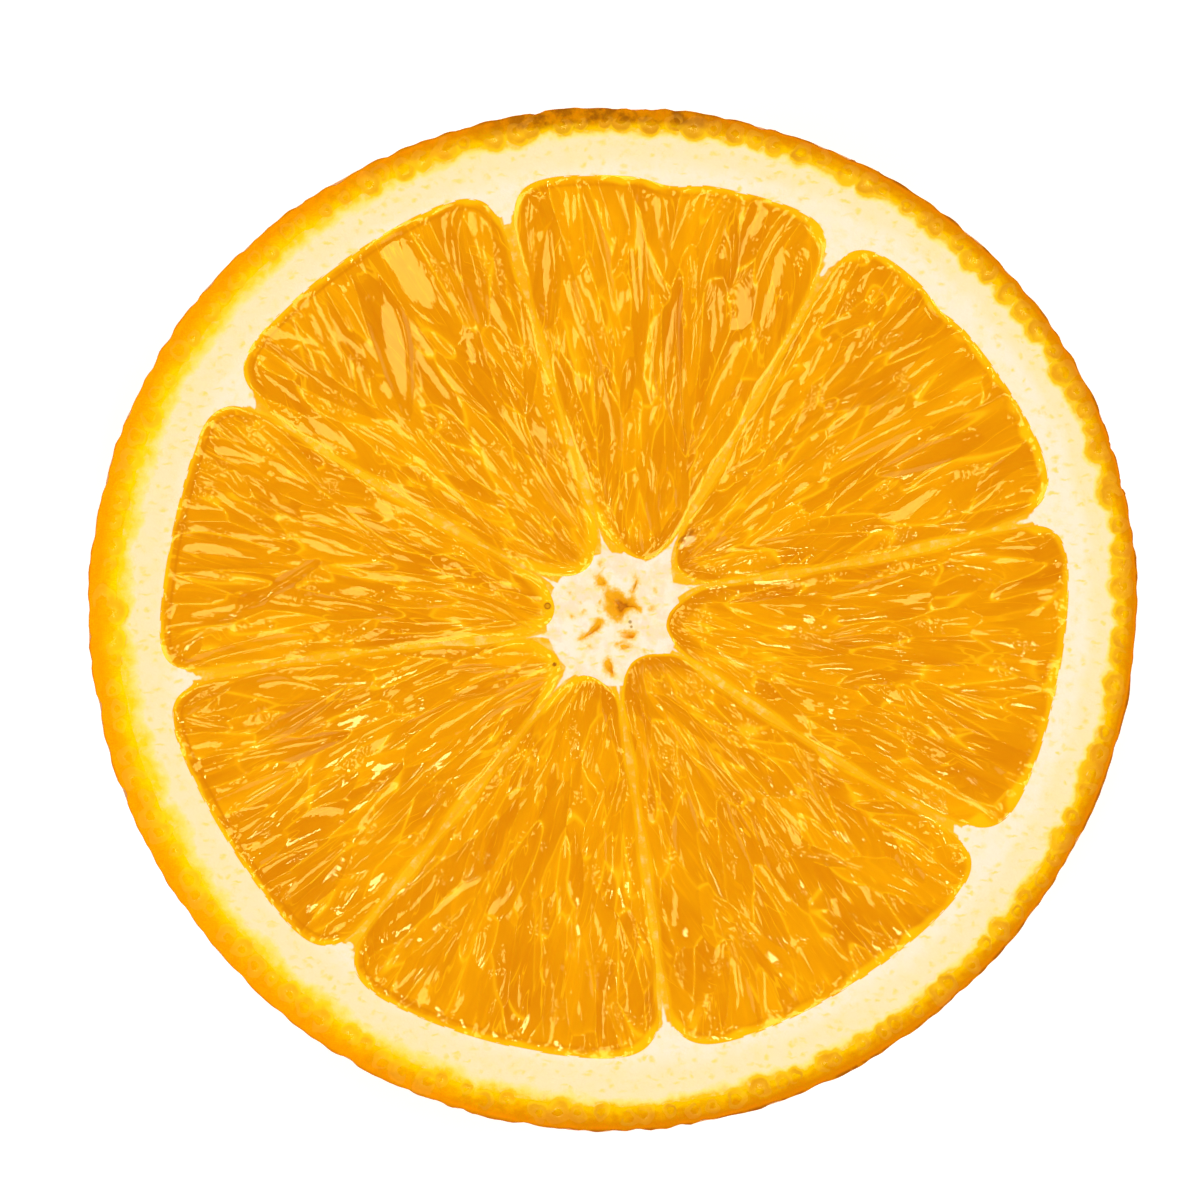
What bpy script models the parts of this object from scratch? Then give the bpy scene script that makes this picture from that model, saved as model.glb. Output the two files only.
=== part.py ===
"""Half an orange, cut across its middle and lying on its rind with the cut face up.

Metres, +Z up. The origin is under the middle of the cut face, on the small flat spot that
the half rests on. +X and +Y lie along the cut face.
"""
import math

import bmesh
import bpy
from mathutils import Matrix, Vector, kdtree, noise

MM = 0.001

# The whole half
RADIUS = 37.5 * MM           # mean radius of the cut face, to the outside of the rind
CUT_HEIGHT = 36.0 * MM       # from the rest spot up to the cut face
REST_SAG = 0.45 * MM         # height of round bottom that the flat rest spot takes away
LOBES = ((2, 0.0123, 9.0), (3, 0.0078, 28.0))    # waves of the outline: count, share, degrees

# Rind
ZEST_THICKNESS = 2.0 * MM    # mean, at the cut face and at the bottom
ZEST_SWELL = 0.5 * MM        # the zest is thicker by this on one side
ZEST_SWELL_ANGLE = 200.0     # degrees
SKIN_STEPS = 5               # halvings of the outside's mesh, one more than the layers under it
PIT_DEPTH = 0.8 * MM         # of the deepest pits in the skin, which are larger than life
PIT_SPREAD = 9.0 * MM        # distance over which the depth of the pits changes
PIT_FADE = 6.0 * MM          # height below the cut face over which they grow to that depth
PIT_LEAST = 0.3              # share of that depth at the cut face
PIT_FREE = 8.0 * MM          # no pits this near the axis, so that the rest spot is flat
PIT_CATCH = 0.01             # how near a pit's centre a point of the mesh is moved, on radius 1
RIM_START = math.radians(-1.0)                   # where the rings round the rind's rim start
GAP = 0.3 * MM               # kept between pieces that touch in the fruit

# Pulp. A wall between two segments runs from the core to the rind and bows to its left:
# its core end, its rind end and its bow, in millimetres.
WALLS = (
    ((5.9, 2.4), (33.0, 8.1), -0.7),
    ((4.4, 5.6), (17.1, 28.6), -0.15),
    ((-0.8, 5.8), (-8.4, 31.9), 0.3),
    ((-4.6, 2.8), (-28.6, 17.4), 0.5),
    ((-5.4, -1.2), (-33.2, -4.7), -0.45),
    ((-3.8, -4.6), (-20.6, -25.5), 0.0),
    ((0.4, -5.0), (4.1, -32.0), 0.2),
    ((4.3, -2.1), (28.0, -16.8), -0.55),
)
# The segment after each wall: its tip at the core, and the radius that its round end
# reaches, in millimetres.
SEGMENTS = (
    ((4.3, 3.6), 33.2),
    ((2.1, 4.0), 32.3),
    ((-1.8, 3.3), 32.7),
    ((-3.9, 0.4), 32.7),
    ((-3.6, -2.8), 32.4),
    ((-1.8, -3.7), 32.0),
    ((1.4, -2.65), 31.8),
    ((3.6, 0.2), 32.7),
)
WALL_HALF = 0.35 * MM        # half the thickness of a wall between two segments
CORNER = 8.0                 # how square a segment's corners are
PULP_DEPTH = 30.8 * MM       # from the cut face down to where the round ends would meet
SIDE_ANGLES = (3.0, 27.0, 50.0, 66.0, 75.0)      # degrees below the cut face of each ring

# Juice sacs, raised on the cut face of each segment
SACS_ACROSS = 6
SACS_ALONG = 4
SAC_STEPS = (3, 5)           # mesh steps across and along one sac
SAC_RISE = 0.9 * MM          # from the crease between two sacs up to a crown
SAC_PROUD = 0.35 * MM        # height of a crown above the cut rind
SAC_NECK = 0.55              # height of a sac's two ends, as a share of its middle
PULP_STEPS = (SACS_ACROSS * SAC_STEPS[0], SACS_ALONG * SAC_STEPS[1])

# Gaps in the white core: place, half sizes, turn in degrees and depth, in millimetres
CORE_GAPS = (
    ((0.7, 1.2), (1.2, 1.3), 40.0, 14.0),
    ((1.0, -1.5), (0.6, 0.7), 0.0, 6.0),
    ((-1.6, -0.6), (0.4, 1.1), -50.0, 6.0),
)
CORE_GAP_SIDES = 8
CORE_GAP_POINT = 0.3         # width at the bottom of a gap, as a share of its mouth

CUTTER_RISE = 3.0 * MM       # how far a cutter stands above the cut face

# Edges turned by more than this many degrees are shaded sharp
SKIN_SHARP = 12.0            # low, so that every pit shows
PITH_SHARP = 40.0
PULP_SHARP = 70.0


def clear_scene():
    """Remove every object, so that the script can run again in the same file."""
    for item in list(bpy.data.objects):
        bpy.data.objects.remove(item, do_unlink=True)


def new_collection(name):
    """Add a collection to the scene."""
    group = bpy.data.collections.new(name)
    bpy.context.scene.collection.children.link(group)
    return group


def new_object(name, bm, group):
    """Turn a finished bmesh into an object."""
    bmesh.ops.recalc_face_normals(bm, faces=bm.faces)
    if bm.calc_volume(signed=True) < 0.0:
        bmesh.ops.reverse_faces(bm, faces=bm.faces)
    mesh = bpy.data.meshes.new(name)
    bm.to_mesh(mesh)
    bm.free()
    item = bpy.data.objects.new(name, mesh)
    group.objects.link(item)
    return item


def finish(item, material, sharp_angle):
    """Give a piece its material and smooth shading up to an edge angle in degrees."""
    item.data.materials.append(material)
    item.data.shade_smooth()
    item.data.set_sharp_from_angle(angle=math.radians(sharp_angle))


def fruit_material(name, colour, roughness):
    """A plain material in one of the fruit's own colours."""
    material = bpy.data.materials.new(name)
    material.use_nodes = True
    shader = material.node_tree.nodes["Principled BSDF"]
    shader.inputs["Base Color"].default_value = (*colour, 1.0)
    shader.inputs["Roughness"].default_value = roughness
    shader.inputs["Metallic"].default_value = 0.0
    return material


def zest_material():
    """Waxy orange skin."""
    return fruit_material("zest skin", (0.85, 0.32, 0.02), 0.45)


def pith_material():
    """Dry creamy white pith."""
    return fruit_material("pith white", (0.95, 0.86, 0.62), 0.8)


def pulp_material():
    """Wet orange pulp."""
    return fruit_material("wet pulp", (0.88, 0.36, 0.01), 0.2)


def rim_radius(angle):
    """Distance from the axis to the outside of the rind, in one direction."""
    waves = sum(share * math.cos(count * (angle - math.radians(turn))) for count, share, turn in LOBES)
    return RADIUS * (1.0 + waves)


def rim_offset():
    """From the axis of the waves to the middle of the outline's box, where the origin is."""
    rim = [rim_radius(math.radians(a)) * Vector((math.cos(math.radians(a)), math.sin(math.radians(a))))
           for a in range(360)]
    xs = [point.x for point in rim]
    ys = [point.y for point in rim]
    return Vector((min(xs) + max(xs), min(ys) + max(ys), 0.0)) / 2.0


def zest_thickness(angle):
    """Thickness of the coloured layer at the cut face."""
    return ZEST_THICKNESS + ZEST_SWELL * math.cos(angle - math.radians(ZEST_SWELL_ANGLE))


def pits(way, place, centres):
    """Depth of the pebbled relief: a pit at each centre, of uneven depth."""
    if centres.find(way)[2] > PIT_CATCH or place.xy.length < PIT_FREE:
        return 0.0
    fade = min(1.0, PIT_LEAST + (1.0 - PIT_LEAST) * -place.z / PIT_FADE)
    return PIT_DEPTH * fade * (0.75 + 0.25 * noise.noise(place / PIT_SPREAD))


def ball(subdivisions):
    """A round mesh of radius 1."""
    bm = bmesh.new()
    bmesh.ops.create_icosphere(bm, subdivisions=subdivisions, radius=1.0)
    return bm


def pit_centres():
    """Where the pits are on a round mesh of radius 1: at the points of one a step coarser."""
    bm = ball(SKIN_STEPS - 1)
    centres = kdtree.KDTree(len(bm.verts))
    for number, vert in enumerate(bm.verts):
        centres.insert(vert.co, number)
    centres.balance()
    bm.free()
    return centres


def dome(subdivisions, side_inset, floor_inset, centres=None):
    """A round bottom half, open at the cut face and set in from the outside of the rind."""
    bm = ball(subdivisions)
    above = [vert for vert in bm.verts if vert.co.z > 1e-4]
    bmesh.ops.delete(bm, geom=above, context='VERTS')
    offset = rim_offset()
    for vert in bm.verts:
        way = vert.co.copy()
        angle = math.atan2(way.y, way.x)
        side = rim_radius(angle) - side_inset(angle)
        place = Vector((way.x * side, way.y * side, way.z * (CUT_HEIGHT - floor_inset)))
        if centres:
            place *= 1.0 - pits(way, place, centres) / RADIUS
        place.z = max(place.z + CUT_HEIGHT, 0.0)
        vert.co = place - offset
    return bm


def open_rim(bm):
    """The points round an open mouth, in order from RIM_START."""
    rim = [vert for vert in bm.verts if vert.is_boundary]
    return sorted(rim, key=lambda vert: (math.atan2(vert.co.y, vert.co.x) - RIM_START) % math.tau)


def join_two_to_one(bm, fine, coarse):
    """Faces between a ring and another with half as many points, which start together."""
    for i in range(len(coarse)):
        before, here, after = fine[2 * i - 2], fine[2 * i - 1], fine[2 * i]
        bm.faces.new((before, coarse[i - 1], here))
        bm.faces.new((here, coarse[i - 1], coarse[i], after))


def make_zest(group):
    """The coloured skin: a pitted outside, a smooth inside and a flat cut edge."""
    bm = dome(SKIN_STEPS, lambda angle: 0.0, -REST_SAG, pit_centres())
    inside = dome(SKIN_STEPS - 1, zest_thickness, ZEST_THICKNESS)
    bmesh.ops.reverse_faces(inside, faces=inside.faces)
    spare = bpy.data.meshes.new("inside")
    inside.to_mesh(spare)
    inside.free()
    outer_rim = open_rim(bm)
    bm.from_mesh(spare)
    bpy.data.meshes.remove(spare)
    inner_rim = [vert for vert in open_rim(bm) if vert not in outer_rim]
    join_two_to_one(bm, outer_rim, inner_rim)
    return new_object("zest", bm, group)


def wall_place(wall, along, reach, inset):
    """A point on a wall, set in from it and from its ends: to its left, or right if negative.

    A reach below 1 draws the wall's rind end in towards the core.
    """
    core, rim, bow = wall
    core = Vector(core) * MM
    run = (Vector(rim) * MM - core) * reach
    ahead = run.normalized()
    left = Vector((-ahead.y, ahead.x))
    bend = bow * MM * reach * 4.0 * along * (1.0 - along)
    return core + run * along + ahead * abs(inset) * (1.0 - 2.0 * along) + left * (bend + inset)


def round_corners(x, y):
    """Move a point of the square from -1 to 1 so that the square's corners come out round."""
    size = max(abs(x), abs(y))
    if size == 0.0:
        return 0.0, 0.0
    stretch = size / (abs(x) ** CORNER + abs(y) ** CORNER) ** (1.0 / CORNER)
    return x * stretch, y * stretch


def plan_point(number, x, y, reach, inset):
    """A point of a segment from above: x from wall to wall and y from core to rind, -1 to 1."""
    first = WALLS[number]
    last = WALLS[(number + 1) % len(WALLS)]
    tip = Vector(SEGMENTS[number][0]) * MM
    round_end = SEGMENTS[number][1] * MM

    def between(share, along):
        return wall_place(first, along, reach, inset).lerp(
            wall_place(last, along, reach, -inset), share)

    x, y = round_corners(x, y)
    along = (y + 1.0) / 2.0
    outward = between(0.5, 1.0).normalized()
    end = outward * (tip.length + (round_end - tip.length) * reach - inset)
    bulge = (1.0 - along) ** 2 * (tip + outward * inset - between(0.5, 0.0))
    bulge += along ** 2 * (end - between(0.5, 1.0))
    return between((x + 1.0) / 2.0, along) + bulge * (1.0 - x * x)


def square_path(across, along):
    """Points round the square from -1 to 1, evenly spaced on each side."""
    path = [(-1.0 + 2.0 * i / across, -1.0) for i in range(across)]
    path += [(1.0, -1.0 + 2.0 * i / along) for i in range(along)]
    path += [(1.0 - 2.0 * i / across, 1.0) for i in range(across)]
    path += [(-1.0, 1.0 - 2.0 * i / along) for i in range(along)]
    return path


def side_ring(bm, number, angle, inset, drop=0.0):
    """A ring of points round a segment, at an angle in degrees below the cut face."""
    reach = math.cos(math.radians(angle))
    height = CUT_HEIGHT - PULP_DEPTH * math.sin(math.radians(angle)) - drop
    return [bm.verts.new((*plan_point(number, x, y, reach, inset), height))
            for x, y in square_path(PULP_STEPS[0] // 2, PULP_STEPS[1] // 2)]


def join_rings(bm, rings):
    """Faces between rings of equal length, one under the other."""
    for upper, lower in zip(rings, rings[1:]):
        for i in range(len(upper)):
            bm.faces.new((upper[i - 1], lower[i - 1], lower[i], upper[i]))


def sac_rise(number, column, row):
    """Height of the cut pulp at a mesh step, over the cut rind: crowns with creases between."""
    sac, across = divmod(column, SAC_STEPS[0])
    along = (row + 2 * sac + number) % SAC_STEPS[1]
    crown = math.sin(math.pi * across / SAC_STEPS[0])
    swell = SAC_NECK + (1.0 - SAC_NECK) * math.sin(math.pi * along / SAC_STEPS[1])
    return SAC_PROUD - SAC_RISE * (1.0 - crown * swell)


def make_segment(number, group):
    """One wedge of pulp: sacs on the cut face, and sides that narrow to the fruit's end."""
    inset = WALL_HALF + GAP
    columns, rows = PULP_STEPS
    bm = bmesh.new()
    bmesh.ops.create_grid(bm, x_segments=columns, y_segments=rows, size=1.0)
    step_of = {(round((v.co.x + 1.0) / 2.0 * columns), round((v.co.y + 1.0) / 2.0 * rows)): v
               for v in bm.verts}
    top_ring = [step_of[round((x + 1.0) / 2.0 * columns), round((y + 1.0) / 2.0 * rows)]
                for x, y in square_path(columns, rows)]
    for (column, row), vert in step_of.items():
        rise = SAC_PROUD - SAC_RISE if vert.is_boundary else sac_rise(number, column, row)
        vert.co = (*plan_point(number, vert.co.x, vert.co.y, 1.0, inset), CUT_HEIGHT + rise)
    rings = [side_ring(bm, number, angle, inset) for angle in SIDE_ANGLES]
    join_two_to_one(bm, top_ring, rings[0])
    join_rings(bm, rings)
    bm.faces.new(rings[-1])
    return new_object(f"segment_{number + 1}", bm, group)


def make_hollow(number, group):
    """What a segment takes out of the pith, with a gap all round it."""
    bm = bmesh.new()
    rings = [side_ring(bm, number, 0.0, WALL_HALF, -CUTTER_RISE)]
    rings += [side_ring(bm, number, angle, WALL_HALF) for angle in SIDE_ANGLES[:-1]]
    rings += [side_ring(bm, number, SIDE_ANGLES[-1], WALL_HALF, GAP)]
    join_rings(bm, rings)
    bm.faces.new(rings[0])
    bm.faces.new(rings[-1])
    return new_object(f"hollow_{number + 1}", bm, group)


def make_core_gap(number, group):
    """What a gap in the white core takes out: a slender cone, point down."""
    place, half_sizes, turn, depth = CORE_GAPS[number]
    rise = CUTTER_RISE / MM
    top = 1.0 + (1.0 - CORE_GAP_POINT) * rise / depth
    bm = bmesh.new()
    bmesh.ops.create_cone(bm, cap_ends=True, segments=CORE_GAP_SIDES, radius1=CORE_GAP_POINT,
                          radius2=top, depth=depth + rise)
    stretch = Matrix.Diagonal((half_sizes[0] * MM, half_sizes[1] * MM, MM, 1.0))
    middle = Vector((place[0] * MM, place[1] * MM, CUT_HEIGHT + (CUTTER_RISE - depth * MM) / 2.0))
    spin = Matrix.Rotation(math.radians(turn), 4, 'Z')
    bmesh.ops.transform(bm, matrix=Matrix.Translation(middle) @ spin @ stretch, verts=bm.verts)
    return new_object(f"core_gap_{number + 1}", bm, group)


def make_pith(group, cutters):
    """The white layer, its core column and the walls between segments, as one body."""
    bm = dome(SKIN_STEPS - 1, lambda angle: zest_thickness(angle) + GAP, ZEST_THICKNESS + GAP)
    bm.faces.new(open_rim(bm))
    pith = new_object("pith", bm, group)
    cut = pith.modifiers.new("room for the pulp", 'BOOLEAN')
    cut.operation = 'DIFFERENCE'
    cut.operand_type = 'COLLECTION'
    cut.collection = cutters
    cut.solver = 'EXACT'
    return pith


def build():
    """Make the half: rind, pith and eight segments of pulp."""
    clear_scene()
    parts = new_collection("orange_half")
    cutters = new_collection("cutters")
    finish(make_zest(parts), zest_material(), SKIN_SHARP)
    finish(make_pith(parts, cutters), pith_material(), PITH_SHARP)
    pulp = pulp_material()
    for number in range(len(SEGMENTS)):
        finish(make_segment(number, parts), pulp, PULP_SHARP)
        make_hollow(number, cutters)
    for number in range(len(CORE_GAPS)):
        make_core_gap(number, cutters)
    for cutter in cutters.objects:
        cutter.hide_render = True
        cutter.display_type = 'WIRE'


build()
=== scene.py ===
# Looks of half an orange: pebbled zest, oil glands in its cut edge, white pith with its core
# and walls, and eight wedges of wet pulp.
import math

import bmesh
import bpy
import numpy as np
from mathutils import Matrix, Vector, kdtree


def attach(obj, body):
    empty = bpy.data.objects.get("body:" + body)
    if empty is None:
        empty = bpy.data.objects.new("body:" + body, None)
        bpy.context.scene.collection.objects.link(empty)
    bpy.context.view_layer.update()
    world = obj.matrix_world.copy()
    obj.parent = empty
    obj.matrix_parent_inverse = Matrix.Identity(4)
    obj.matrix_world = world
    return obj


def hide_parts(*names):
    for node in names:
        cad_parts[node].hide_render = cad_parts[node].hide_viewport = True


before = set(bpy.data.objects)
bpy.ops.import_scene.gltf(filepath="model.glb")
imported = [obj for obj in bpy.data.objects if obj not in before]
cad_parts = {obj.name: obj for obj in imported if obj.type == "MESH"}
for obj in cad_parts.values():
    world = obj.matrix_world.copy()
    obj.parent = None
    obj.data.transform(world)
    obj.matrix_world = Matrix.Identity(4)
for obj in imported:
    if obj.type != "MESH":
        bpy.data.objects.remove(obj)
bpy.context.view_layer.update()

MM = 0.001
RNG = np.random.default_rng(7)

# The form of the fruit, in millimetres and degrees, as the solids have it
RADIUS = 37.5                # mean radius of the cut face
CUT_HEIGHT = 36.0            # from the rest spot up to the cut face
REST_SAG = 0.45              # height of round bottom that the flat rest spot takes away
LOBES = ((2, 0.0123, 9.0), (3, 0.0078, 28.0))    # waves of the outline: count, share, degrees
ZEST_THICKNESS = 2.0
ZEST_SWELL = 0.5             # the zest is thicker by this towards ZEST_SWELL_ANGLE
ZEST_SWELL_ANGLE = 200.0
WALLS = (                    # core end, rind end and bow to the left of each wall
    ((5.9, 2.4), (33.0, 8.1), -0.7),
    ((4.4, 5.6), (17.1, 28.6), -0.15),
    ((-0.8, 5.8), (-8.4, 31.9), 0.3),
    ((-4.6, 2.8), (-28.6, 17.4), 0.5),
    ((-5.4, -1.2), (-33.2, -4.7), -0.45),
    ((-3.8, -4.6), (-20.6, -25.5), 0.0),
    ((0.4, -5.0), (4.1, -32.0), 0.2),
    ((4.3, -2.1), (28.0, -16.8), -0.55),
)
SEGMENTS = (                 # tip at the core, and radius of the round end
    ((4.3, 3.6), 33.2),
    ((2.1, 4.0), 32.3),
    ((-1.8, 3.3), 32.7),
    ((-3.9, 0.4), 32.7),
    ((-3.6, -2.8), 32.4),
    ((-1.8, -3.7), 32.0),
    ((1.4, -2.65), 31.8),
    ((3.6, 0.2), 32.7),
)
WALL_HALF = 0.35
CORNER = 8.0                 # how square a segment's corners are at the rind
TIP_CORNER = 24.0            # and at the core, where neighbours nearly touch
PULP_DEPTH = 30.8
NOTCHES = ((82.5, 0.45, 3.0), (43.4, 0.35, 2.0), (150.5, 0.3, 2.5))   # degrees, depth, width

# The fine skin
INSIDE = 0.9985              # keeps the fine outline inside the solids' box
SKIN_STEPS = 8
PIT_COUNT = 9400             # on the whole fruit
PIT_DEPTH = (0.10, 0.26)
PIT_WIDTH = (0.42, 0.66)
SWELL_DEPTH = 0.06           # of the slow waves under the pits
RIM_START = -0.25            # degrees from which the points of a rim are counted
EDGE_ROWS = 10               # rows of mesh across the cut edge of the zest
EDGE_FIRST = 0.35            # place of the first, over the distance between two
EDGE_FOLD = (0.1, 0.2)       # how far in and down the edge goes after the last
EDGE_COLOURED = 0.3          # how far down the cut edge's colours go
EDGE_FLAT = 0.6              # share of that edge which is level
EDGE_DROP = 0.06             # by which the rest slopes down, to end inside the pith
HIDDEN_DROP = 0.4            # how far under the cut face the zest's inside starts, in the pith

# Oil glands in the cut edge of the zest
GLANDS = 138
GLAND_RADIUS = (0.42, 0.8)
GLAND_DEPTH = (0.95, 1.5)    # of their middles, under the skin
GLAND_MARGIN = 0.42          # least skin outside a gland
GLANDS_DRY = 0.35            # share of them that are empty, with painted shade in their cups
GLAND_UNEVEN = 0.28          # how far a gland is off its even place, over their spacing
GLAND_SIDES = 24
GLAND_LIFT = 0.008           # of a gland's rise over the cut face
GLAND_CUP = 0.7              # reach of the cup in its middle, over its radius
GLAND_EMPTY = 0.1            # how much steeper the cup of an empty gland is
GLAND_FADE = 0.9             # how much of a gland's colour is lost on one side
GLAND_SKIRT = 1.3            # where a gland's bead ends under the cut face, over its radius
GLAND_PROFILE = (            # reach from the middle over the radius, and rise
    (0.12, -0.018), (0.25, -0.016), (0.4, -0.011), (0.55, -0.005), (0.7, 0.001), (0.85, 0.002),
    (1.0, -0.002), (1.15, -0.012), (GLAND_SKIRT, -0.03),
)
LOBE_DEPTH = 1.35            # where the zest's colour ends in a gland's lobe, as for the depth
LOBE_SLOPE = 2.2             # by which that depth grows for each millimetre away from the gland
RAMP_DEPTH = 6.0             # depth in the rind where its ramps of colour end
LIT_SIDE = 185.0           # degrees to where the rind is painted lit and yellowest; it is painted shaded away from there

# A dark brown patch of the skin at the top: degrees to its middle, half its spread, and how far down
TOP_BROWN_TURN = 91.0
TOP_BROWN_SPREAD = 17.0
TOP_BROWN_BELOW = 9.0

# The fine pith
PITH_AROUND = 640
PITH_TUCK = 0.6              # how far the pith runs under the zest
PITH_DROP = 0.02             # of its cut face, under the cut face of the zest
PITH_BEVEL = 0.05            # by which it slopes down further where it runs under the zest
BEVEL_WIDTH = 0.4
CORE_REACH = 9.0             # how far out the star's shape decides what is white
STAR_MIDDLE = 4.8            # radius of the white round the middle
STAR_POINT = 0.08            # half the width of an arm where its wall begins
STAR_TAPER = 0.14            # by which that half width grows for each millimetre inward
STAR_CURVE = 0.14            # and for the square of that distance, so that the arm's sides bow in
STAR_ARM = 8.0               # length of an arm
PITH_MIDDLE = 0.6            # distance from the middle at which the rows of the cut face end
PITH_FINE = 0.2              # from one of those rows to the next, near the core and the rind
PITH_COARSE = 0.34           # and between, from 9 to 28 millimetres out
PITH_COARSE_PART = (9.0, 28.0)
PITH_SPACING = 0.17          # least distance between points of a row
PITH_ROWS_BELOW = 24
PITH_HALVED = (4, 14, 20)    # rows below from which half as many points go on
PITH_OVERLAP = 0.1           # how far the pith's underside sits in the zest
CORE_GAPS = (                # outline in millimetres from the middle of the core, and depth
    (((-0.74, 2.03), (-0.3, 2.29), (0.41, 2.03), (0.93, 1.59), (1.54, 1.5), (1.99, 0.71), (1.46, 0.88),
      (0.93, 0.54), (0.58, -0.08), (0.05, -0.08), (-0.57, 0.71), (-0.3, 1.15), (-0.65, 1.76)), 0.7),
    (((0.55, -0.85), (1.63, -0.95), (1.55, -1.3), (0.95, -1.35), (0.5, -1.2)), 0.35),
    (((0.35, -1.75), (0.9, -1.7), (1.3, -1.95), (0.8, -2.1), (0.45, -2.05)), 0.12),
    (((-0.65, -2.95), (-0.35, -2.85), (-0.05, -3.3), (0.02, -4.05), (-0.3, -3.8), (-0.6, -3.4)), 0.3),
    (((-2.35, -1.45), (-1.75, -0.75), (-1.2, -0.15), (-0.85, 0.1), (-0.85, -0.5), (-1.5, -1.0)), 0.3),
    (((-1.15, 3.15), (-0.75, 2.95), (-0.5, 2.6), (-0.85, 2.5), (-1.25, 2.6)), 0.15),
    (((1.6, 2.95), (1.75, 2.9), (1.6, 2.3), (1.35, 1.95), (1.3, 2.15)), 0.2),
)
GAP_LEVELS = (-0.15, 0.0, 0.12, 0.35, 0.65, 1.0)    # of a gap's rows, over its depth
GAP_POINT = 0.25             # width at the bottom of a gap, as a share of its mouth
GAP_WANDER = (0.25, -0.2)    # how far the bottom of a gap lies aside
CUTTER_RISE = 2.0            # how far a cutter stands over the cut face
CORE_STAINS = (              # small yellow spots in the core, and their size
    ((-3.1, 1.94), 0.3), ((-2.36, 1.2), 0.22), ((-2.1, 0.6), 0.28), ((-3.0, 0.2), 0.2),
    ((2.73, 0.8), 0.32), ((-1.6, -1.95), 0.25), ((-0.35, -0.4), 0.16), ((2.3, -2.3), 0.2),
    ((-0.95, 4.0), 0.25), ((-0.5, 3.75), 0.2), ((-0.8, 3.5), 0.25), ((3.1, 2.1), 0.2),
    ((0.9, -1.55), 0.3), ((-1.1, 0.6), 0.15), ((-0.95, 1.3), 0.15),
)
CORE_DOTS = ((1.24, -0.17, 0.19), (1.33, -0.52, 0.14))    # two small brown dots: place and size
FLECK_KINDS = (              # direction, stretch, cells to a millimetre and size
    (0.4, 1.0, 0.7, 0.2), (1.1, 1.6, 0.5, 0.2), (-0.7, 3.2, 0.36, 0.2),
)

# The fine pulp
PULP_GRID = ((290, 300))
PULP_OVERLAP = 0.02          # how far the pulp sits in the pith
WALL_WEAR = 0.25             # how far a segment's side may swell into its wall
TIP_WEAR = 0.3               # the same beside the core, where neighbours nearly touch
WALL_WAVES = np.random.default_rng(5).uniform(0.0, math.tau, (8, 3))
SAC_TRIES = 1500             # places tried for a sac in each segment
SAC_FEATHER = 0.18           # how much sacs lean towards the nearer wall, in radians
CURLED_TIPS = (1.2, 0.4, 0.2, 0.3, 0.3, 0.3, 0.5, 1.6)    # fine curls at each segment's tip
SACS_CUT = 0.55              # share of the sacs that the knife opened, which lie flat
SAC_CUT_WIDTH = 2.0          # widest sac that lies flat
SAC_WIDEST = 2.9
SAC_LENGTH = (6.0, 13.0)
SAC_BULGE = (0.02, 0.06)     # height of a sac's round back, for each millimetre of its width
SAC_CROWN = (-0.02, 0.06)    # mean height of the sacs over the cut face, and its spread
SAC_LEAN = 0.085             # spread of the slopes at which sacs lie
SAC_BOW = 0.04               # spread of their bends
SAC_BLEND = 0.01             # how round the creases between sacs are
SAC_CREASE = 0.016           # drop beside a crease within which the thin skins show
SAC_RIM = 0.05               # and within which a sac is lighter
SAC_CEILING = 0.19           # the highest that sacs stand over the cut face
LONG_WAVES = 0.010           # heights of the ripples over the sacs
THREADS = 0.006
BEADS = 0.009
PULP_DROP = 0.012            # of the pulp's cut face, under the cut face of the zest
PULP_MARGIN = 1.1            # how far inside its edge the sacs reach their full height
GROOVE_PLACE = 0.3           # from the edge to the shallow groove inside the pulp's skin
GROOVE_WIDTH = 0.2
GROOVE_DEPTH = 0.012
SPECKS = (                   # small brown marks on the pulp: place, radius, and 1 for a ring
    ((-4.71, 0.98), 0.2, 1.0),
    ((4.54, 5.2), 0.06, 0.0),
    ((-4.21, -3.23), 0.1, 0.0),
)
TORN_PLACE = (5.45, 5.7)     # a white torn flake with a brown edge at the tip of a segment
TORN_SIZE = (0.62, 0.24)
TORN_TURN = 38.0
SIDE_ANGLES = (2.0, 6.0, 12.0, 20.0, 30.0, 42.0, 54.0, 66.0, 75.0)    # degrees, rows of its sides

# Floor and lights in metres, picture and lens in millimetres
FLOOR_SIZE = 3.0
FLOOR_DROP = 0.0002
WARM_LAMP = (1.0, 0.98, 0.62)
WHITE_LAMP = (1.0, 1.0, 1.0)
SOFTBOXES = (                # place, width, radiance and colour
    ("overhead", (-0.07, 0.11, 0.95), 0.18, 13.0, WARM_LAMP),
    ("key", (0.18, 0.12, 0.9), 0.13, 14.0, WARM_LAMP),
    ("low_left", (-0.14, -0.12, 0.9), 0.11, 13.0, WARM_LAMP),
    ("spark", (0.03, -0.2, 0.9), 0.07, 34.0, WHITE_LAMP),
)
SIDE_SOFTBOXES = 4
SIDE_TURN = 20.0             # degrees to the first of them
SIDE_REACH = 0.65
SIDE_HEIGHT = 0.5
SIDE_WIDTH = 0.5
SIDE_RADIANCE = 3.0
CAMERA_FRAME = 86.45         # width of the picture at the cut face, in millimetres
CAMERA_MIDDLE = (-0.93, 1.41)
LENS = 200.0
SENSOR = 36.0


def direction(angle):
    """Unit vectors at some angles, in radians."""
    return np.stack((np.cos(angle), np.sin(angle)), axis=-1)


def even_turns(count):
    """Angles of evenly spaced points on a ring, in radians."""
    return np.arange(count) * math.tau / count


def rim_radius(angle):
    """From the axis to the outside of the rind."""
    waves = sum(share * np.cos(count * (angle - math.radians(turn))) for count, share, turn in LOBES)
    return RADIUS * (1.0 + waves)


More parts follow.
